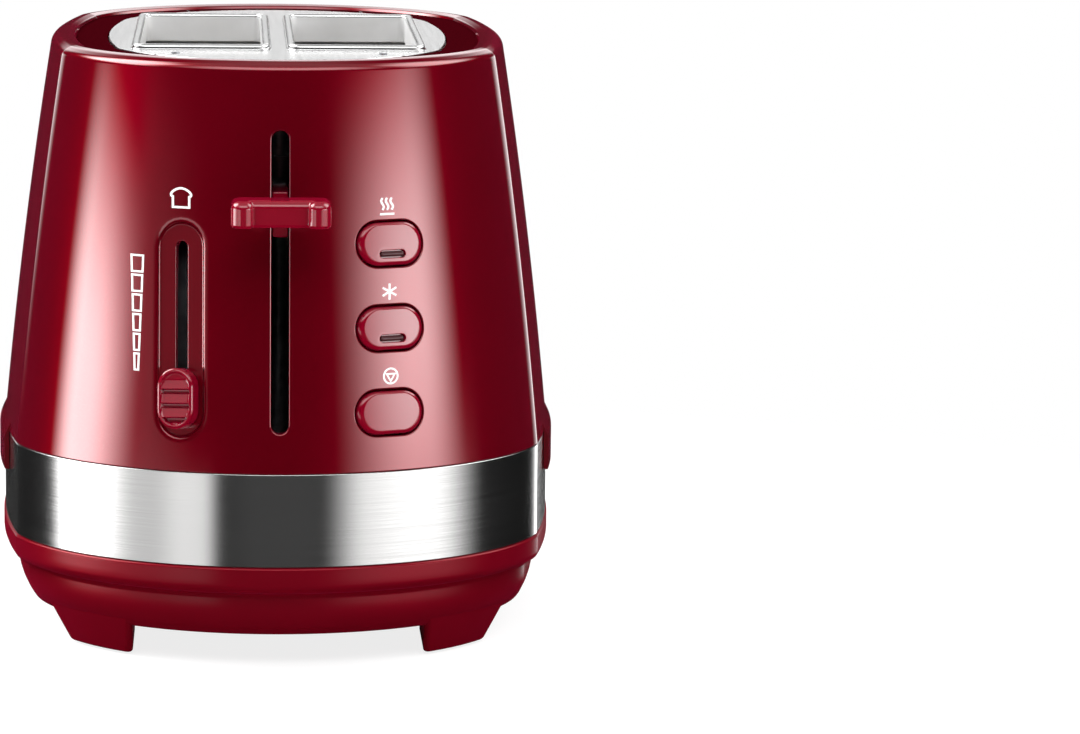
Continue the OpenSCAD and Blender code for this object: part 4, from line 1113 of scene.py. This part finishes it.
def button_cap(name, body, row, lens):
    build = Build()
    place = button_place(row)
    loop, normals = stadium(CAP_W, CAP_H, 18, 8)
    flange, _ = stadium(BUTTON_W + 2, BUTTON_H + 2, 18, 8)
    wide = (SHOULDER_WIDE + SHOULDER_END * np.abs(normals[:, :1])
            + SHOULDER_FOOT * np.clip(-normals[:, 1:], 0, 1))
    rings = [build.add(place.at(ab, t), place.turned(normals * flat, up))
             for ab, t, flat, up in ((flange, CAP_LOW, 0.7, -0.7), (flange, FLANGE_T, 0.7, 0.7),
                                     (loop, FLANGE_T + 0.05, 0.7, 0.7), (loop, FLANGE_T + 0.8, 1, 0))]
    for phi in np.linspace(0, pi / 2, 8):
        ab = loop - normals * wide * (1 - cos(phi))
        t = place.reach(ab, taper) + BUTTON_PROUD - SHOULDER_DEEP * (1 - sin(phi))
        facing = unit(SHOULDER_DEEP * cos(phi) * place.turned(normals, 0)
                      + wide * sin(phi) * place.face_normals(ab, taper))
        rings.append(build.add(place.at(ab, t), facing))
    build.tube(rings)
    bottom = build.add(place.at(flange, CAP_LOW), place.turned(normals * 0, -1))
    build.strip(bottom, rings[0])
    build.patch((bottom, flange))
    holes = [lens_pocket(build, place)] if lens else []
    build.patch((rings[-1], loop - normals * wide), holes, CAP_SPACING, lambda ab: (
        place.at(ab, place.reach(ab, taper) + BUTTON_PROUD), place.face_normals(ab, taper)))
    pillow(build, place.moved(0, PLUNGER_Y), *circle(PLUNGER_R, 20), PLUNGER_END, CAP_LOW + 1, 0.2, 0.1, 2)
    build.piece(name + "_dressed", body, "control_red", name)


def button_lens(name, body, row):
    build = Build()
    place = button_place(row).moved(0, LENS_Y)
    pillow(build, place, *stadium(LENS_W - LENS_GAP, LENS_H - LENS_GAP, 8, 8),
           POCKET_FLOOR + 0.05, BUTTON_PROUD - 0.2, 0.1, LENS_ROUND, 8)
    build.piece(name + "_dressed", body, "smoked_lens", name)


# Crumb tray handle
HANDLE_W, HANDLE_LOW, HANDLE_TOP = TRAY_GAP_W - 2 * FIT, FLOOR_Z + FIT, TRAY_GAP_TOP - FIT
HANDLE_EDGE = 0.4
PULL_W, PULL_OUT, PULL_H = 34.0, 3.0, 3.0


def tray_handle():
    build = Build()
    place = Place((0, HALF_L, (HANDLE_LOW + HANDLE_TOP) / 2), (-1, 0, 0), (0, 0, 1), (0, 1, 0), 1)
    loop, normals = rounded_rect(HANDLE_W, HANDLE_TOP - HANDLE_LOW, 0.8, 4, 3.0)

    def face(inset_at, sign):
        return lambda ab: (place.at(ab, place.reach(ab, inset_at)), sign * place.face_normals(ab, inset_at))

    rings = []
    for phi in np.linspace(0, pi / 2, 5):
        ab = loop - normals * HANDLE_EDGE * (1 - sin(phi))
        t = place.reach(ab, bowl_tuck) - HANDLE_EDGE * (1 - cos(phi))
        facing = unit(cos(phi) * place.face_normals(ab, bowl_tuck)
                      + sin(phi) * place.turned(normals, 0))
        rings.append(build.add(place.at(ab, t), facing))
    inner, inward = face(bowl_inside, -1)(loop)
    rings.append(build.add(inner, place.turned(normals, 0)))
    back = build.add(inner, inward)
    build.tube(rings)
    build.patch((rings[0], loop - normals * HANDLE_EDGE), (), 3.0, face(bowl_tuck, 1))
    build.patch((back, loop), (), 4.0, face(bowl_inside, -1))
    pillow(build, place, *rounded_rect(PULL_W, PULL_H, 1.2, 5, 5.0),
           -BOWL_IN - WALL - 3.0, PULL_OUT, 0.3, 1.1, 5)
    build.piece("tray_handle_dressed", "crumb_drawer", "control_red", "crumb_tray_handle")


# Lift spring
SPRING_WIRE, SPRING_TURNS, SPRING_STEPS, SPRING_SIDES = 0.5, 8, 28, 9


def lift_spring():
    """The carriage's pull spring, fixed where it is made between its foot and its top."""
    build = Build()
    low, high = node_box("lift_spring")
    middle = (low + high) / 2 - [0, FRAME_Y, 0]
    foot, top = low[2] + SPRING_WIRE, high[2] - SPRING_WIRE
    r = (high[0] - low[0]) / 2 - SPRING_WIRE
    rings = []
    for share in np.linspace(0, 1, SPRING_TURNS * SPRING_STEPS + 1):
        a = 2 * pi * SPRING_TURNS * share
        out = np.array([cos(a), sin(a), 0])
        normals = np.array([out * cos(b) + [0, 0, sin(b)]
                            for b in np.linspace(0, 2 * pi, SPRING_SIDES + 1)[:-1]])
        centre = np.array([middle[0], middle[1], foot + (top - foot) * share]) + out * r
        rings.append(build.add(centre + normals * SPRING_WIRE, normals))
    build.tube(rings)
    for ids, facing in ((rings[0], (0, -1, 0)), (rings[-1], (0, 1, 0))):
        build.face(build.add(build.at(ids), [facing] * SPRING_SIDES))
    ends = [(middle[0] * MM, (middle[1] + FRAME_Y) * MM, z * MM) for z in (foot, top)]
    build.piece("spring_dressed", "bread_carriage", "zinc_steel", "lift_spring", stretch=("housing", *ends))


# Printed marks, as thin solids that follow the front face
INK_HIGH, INK_DEEP = 0.04, 0.08
INK_LINE = 0.62
SCALE_BOXES, SCALE_PITCH, SCALE_BOX_H = 6, 6.08, 5.6
SCALE_LOW, SCALE_LEFT, SCALE_RIGHT = 92.4, -45.65, -43.6
GROW_LEFT, GROW_RIGHT = 0.95, 1.3
SLICE_X, SLICE_Z, SLICE_LINE = -30.8, 146.4, 0.7
HEAT_X, HEAT_LOW, HEAT_TOP, HEAT_PITCH, HEAT_LINE = 33.3, 143.1, 146.8, 1.45, 0.66
WAVE_L, WAVE_OUT = 3.7, 0.4
PAN_Z, PAN_XS = 141.8, (31.1, 32.6, 34.1, 35.6)
FROST_X, FROST_Z, FROST_R, FROST_LINE = 34.15, 117.8, 2.5, 0.64
STOP_X, STOP_Z, STOP_LINE, STOP_INNER_R, STOP_INNER_LINE = 34.6, 91.65, 0.56, 2.0, 0.5
STOP_RX, STOP_RZ = 2.45, 2.6


def printed(build, outer, inner=None):
    """A mark between two loops of (x, z), or inside one loop."""
    loops = [np.asarray(outer, float)] + ([np.asarray(inner, float)] if inner is not None else [])
    levels = []
    for loop in loops:
        base, normals = face_points(face_u(loop[:, 0], loop[:, 1], taper), loop[:, 1], taper)
        levels.append([build.add(base + normals * h, normals * s)
                       for h, s in ((INK_HIGH, 1), (-INK_DEEP, -1))])
    for top, low in levels:
        build.strip(top, low)
    for side in (0, 1):
        if inner is not None:
            build.strip(levels[0][side], levels[1][side])
        else:
            build.patch((levels[0][side], loops[0]))


def stroke(build, path, width):
    """A line of even width along a path."""
    path = np.asarray(path, float)
    along = unit(np.gradient(path, axis=0))
    across = np.stack([-along[:, 1], along[:, 0]], 1) * width / 2
    printed(build, np.concatenate([path - across, (path + across)[::-1]]))


def ring_mark(build, loop, width):
    """A line of even width around a closed loop, inside it."""
    loop = np.asarray(loop, float)
    before, after = unit(loop - np.roll(loop, 1, 0)), unit(np.roll(loop, -1, 0) - loop)
    inward = np.stack([-before[:, 1] - after[:, 1], before[:, 0] + after[:, 0]], 1)
    length = 1 + (before * after).sum(1)
    printed(build, loop, loop + inward / length[:, None] * width)


def dense(loop, spacing=0.8):
    """Adds points along the sides of a polygon."""
    out = []
    for a, b in zip(loop, loop[1:] + loop[:1]):
        parts = max(1, round(dist(a, b) / spacing))
        out += [(a[0] + (b[0] - a[0]) * k / parts, a[1] + (b[1] - a[1]) * k / parts) for k in range(parts)]
    return out


def browning_scale(build):
    """Open boxes that grow wider towards the top."""
    for k in range(SCALE_BOXES):
        share, low = k / (SCALE_BOXES - 1), SCALE_LOW + SCALE_PITCH * k
        left, right, top = SCALE_LEFT - GROW_LEFT * share, SCALE_RIGHT + GROW_RIGHT * share, low + SCALE_BOX_H
        ring_mark(build, dense([(left + 0.12, low), (right - 0.2, low), (right, top), (left, top)]), INK_LINE)


def slice_sign(build):
    """A slice of bread over the browning slider."""
    body = [(-2.9, -3.0), (2.9, -3.0), (2.9, 0.4)]
    crown = [(3.5 * cos(a) * (0.84 + 0.16 * abs(cos(a))),
              1.4 + 1.9 * sin(a) - 0.25 * cos(2 * a))
             for a in np.linspace(-0.35, pi + 0.35, 19)]
    loop = [(SLICE_X + a, SLICE_Z + b) for a, b in body + crown + [(-2.9, 0.4)]]
    ring_mark(build, dense(loop, 0.6), SLICE_LINE)


def heat_sign(build):
    """Three waves over a line."""
    for k in (-1, 0, 1):
        z = np.linspace(HEAT_LOW, HEAT_TOP, 15)
        x = HEAT_X + HEAT_PITCH * k + WAVE_OUT * np.sin((z - HEAT_LOW) / WAVE_L * 2 * pi)
        stroke(build, np.stack([x, z], 1), HEAT_LINE)
    stroke(build, [(x, PAN_Z) for x in PAN_XS], HEAT_LINE)


def frost_sign(build):
    """A star of three strokes."""
    for angle in (90, 30, 150):
        c, s = cos(radians(angle)), sin(radians(angle))
        path = [(FROST_X + FROST_R * t * c, FROST_Z + FROST_R * t * s) for t in np.linspace(-1, 1, 7)]
        stroke(build, path, FROST_LINE)


def stop_sign(build):
    """A triangle in a ring."""
    loop = [(STOP_X + STOP_RX * cos(a), STOP_Z + STOP_RZ * sin(a))
            for a in np.linspace(0, 2 * pi, 40)[:-1]]
    ring_mark(build, loop, STOP_LINE)
    corners = [(STOP_X + STOP_INNER_R * cos(a), STOP_Z - 0.1 + STOP_INNER_R * sin(a))
               for a in (radians(150), radians(270), radians(30))]
    ring_mark(build, dense(corners), STOP_INNER_LINE)


def printed_marks():
    build = Build()
    for mark in (browning_scale, slice_sign, heat_sign, frost_sign, stop_sign):
        mark(build)
    build.piece("printed_marks", "housing", "shell_red", materials=[INK])


for make in (body_shell, steel_band, base_housing, top_plate, lever_knob, browning_thumb):
    make()
for key, row, lens in (("reheat", 1, True), ("defrost", 0, True), ("cancel", -1, False)):
    button_cap(key + "_button", key + "_key", row, lens)
    if lens:
        button_lens(key + "_lens", key + "_key", row)
for make in (tray_handle, lift_spring, printed_marks):
    make()

# CAD nodes that stay take their slot's finish
for part in frame["record"]["subparts"]:
    node = frame["nodes"][part["node"]]
    node.data.materials.clear()
    node.data.materials.append(MATERIALS[part["material_slot"]])


# Floor: pale, white to the camera far out, unseen by reflections
FLOOR_HALF, FLOOR_DROP = 4.0, 0.0002
FLOOR_PALE, FLOOR_GLOW, FLOOR_BOUNCE = 0.26, 0.82, 0.8
WHITE_FROM, WHITE_AT = 0.17, 0.45


def grey(value):
    return (value, value, value, 1)


def floor_material():
    material = bpy.data.materials.new("studio_floor")
    material.use_nodes = True
    tree = material.node_tree
    tree.nodes.clear()

    def mixed(share, first, second):
        return add_node(tree, "MixShader", {0: share, 1: first, 2: second})[0]

    path = add_node(tree, "LightPath")
    pale = add_node(tree, "BsdfDiffuse", {"Color": grey(FLOOR_PALE)})[0]
    glow = add_node(tree, "Emission", {"Strength": FLOOR_GLOW})[0]
    lit = add_node(tree, "AddShader", {0: pale, 1: glow})[0]
    place = add_node(tree, "TexCoord")["Object"]
    distance = add_node(tree, "VectorMath", {0: place}, operation="LENGTH")["Value"]
    white = add_node(tree, "Emission")[0]
    seen = mixed(smooth_step(tree, distance, WHITE_FROM, WHITE_AT), lit, white)
    bounce = add_node(tree, "BsdfDiffuse", {"Color": grey(FLOOR_BOUNCE)})[0]
    clear = add_node(tree, "BsdfTransparent")[0]
    surface = mixed(path["Is Glossy Ray"], mixed(path["Is Camera Ray"], bounce, seen), clear)
    add_node(tree, "OutputMaterial", {"Surface": surface})
    return material


def studio_floor():
    mesh = bpy.data.meshes.new("floor")
    r = FLOOR_HALF
    mesh.from_pydata([(-r, -r, 0), (r, -r, 0), (r, r, 0), (-r, r, 0)], [], [(0, 1, 2, 3)])
    mesh.materials.append(floor_material())
    floor = bpy.data.objects.new("floor", mesh)
    floor.location.z = -FLOOR_DROP
    bpy.context.scene.collection.objects.link(floor)


# Studio: soft boxes in a dim room. Azimuth runs from the front towards +X; angles in degrees.
# Each box: azimuth rise from, to, fall from, to; elevation rise from, to, fall from, to; strength.
SOFT_BOXES = [
    (-114, -98, -91, -62, -14, -3, 1, 8.5, 11.0),
    (-80, -66, -60, -34, -12, -4, 4, 12, 0.35),
    (-80, -62, -32, -24, -18, -11, -5, 2, 1.15),
    (-56, -40, -32, -24, -18, -11, -5, 2, 0.8),
    (-30, -10, 10, 30, -18, -11, -5, 2, 0.08),
    (23, 63, 67, 90, -6, 4, 5, 13, 7.8),
    (18, 38, 71, 99, -18, -11, -5, 2, 1.75),
    (143, 153, 159, 162, -14, -9, 5, 10, 2.6),
    (147, 151, 153, 157, -13.5, -11, -9, -6.5, 2.4),
    (-162, -159, -153, -144, -6, 1, 5, 10, 2.6),
    (-80, -30, 30, 80, 26, 38, 52, 66, 3.6),
    (-150, -125, -100, -70, 20, 30, 48, 64, 11.0),
    (70, 95, 120, 150, 20, 30, 48, 64, 5.0),
]
OVERHEAD, OVERHEAD_RISE = 0.5, (50, 70)
ROOM = 0.008
BEHIND, BEHIND_AZIMUTH, BEHIND_ELEVATION = 1.8, (155, 170), (5.5, 12, 30, 50)


def studio_world():
    world = bpy.data.worlds.new("studio")
    bpy.context.scene.world = world
    world.use_nodes = True
    tree = world.node_tree
    tree.nodes.clear()

    def compute(operation, *values):
        return add_node(tree, "Math", dict(enumerate(values)), operation=operation)[0]

    def times(a, b):
        return compute("MULTIPLY", a, b)

    def between(value, rise, full, fall, end):
        return times(smooth_step(tree, value, rise, full),
                     compute("SUBTRACT", 1.0, smooth_step(tree, value, fall, end)))

    place = add_node(tree, "TexCoord")["Generated"]
    x, y, z = add_node(tree, "SeparateXYZ", {0: place})
    azimuth = times(compute("ARCTAN2", x, times(y, -1.0)), 180 / pi)
    elevation = times(compute("ARCSINE", z), 180 / pi)
    light = times(smooth_step(tree, compute("ABSOLUTE", azimuth), *BEHIND_AZIMUTH),
                  between(elevation, *BEHIND_ELEVATION))
    light = compute("ADD", times(light, BEHIND), ROOM)
    light = compute("ADD", light, times(smooth_step(tree, elevation, *OVERHEAD_RISE), OVERHEAD))
    for *spans, strength in SOFT_BOXES:
        box = times(between(azimuth, *spans[:4]), between(elevation, *spans[4:]))
        light = compute("ADD", light, times(box, strength))
    studio = add_node(tree, "Background", {"Color": grey(1), "Strength": light})[0]
    white = add_node(tree, "Background", {"Color": grey(1)})[0]
    seen = add_node(tree, "LightPath")["Is Camera Ray"]
    mix = add_node(tree, "MixShader", {0: seen, 1: studio, 2: white})[0]
    add_node(tree, "OutputWorld", {"Surface": mix})


# Camera at the photograph's viewpoint, fitted to the band, the rim and the slots
CAMERA_AT = (-15.39, -1755.78 + FRAME_Y, 322.30)
CAMERA_AHEAD = (0.058891, 0.988571, -0.138777)
CAMERA_ROLL = radians(-0.6016)
FOCAL_PIXELS, PHOTO_WIDTH, SENSOR_WIDTH = 5249.18, 1080, 36.0


def camera():
    position = Vector(CAMERA_AT) * MM
    ahead = Vector(CAMERA_AHEAD).normalized()
    level = ahead.cross(Vector((0, 0, 1))).normalized()
    upright = level.cross(ahead)
    right = level * cos(CAMERA_ROLL) - upright * sin(CAMERA_ROLL)
    up = upright * cos(CAMERA_ROLL) + level * sin(CAMERA_ROLL)
    data = bpy.data.cameras.new("camera")
    data.sensor_fit = "HORIZONTAL"
    data.sensor_width = SENSOR_WIDTH
    data.lens = FOCAL_PIXELS / PHOTO_WIDTH * SENSOR_WIDTH
    data.clip_start, data.clip_end = 0.05, 20.0
    obj = bpy.data.objects.new("camera", data)
    obj.matrix_world = Matrix((*zip(right, up, -ahead, position), (0, 0, 0, 1)))
    bpy.context.scene.collection.objects.link(obj)
    bpy.context.scene.camera = obj


studio_floor()
studio_world()
camera()
bpy.context.scene.view_settings.view_transform = "Standard"
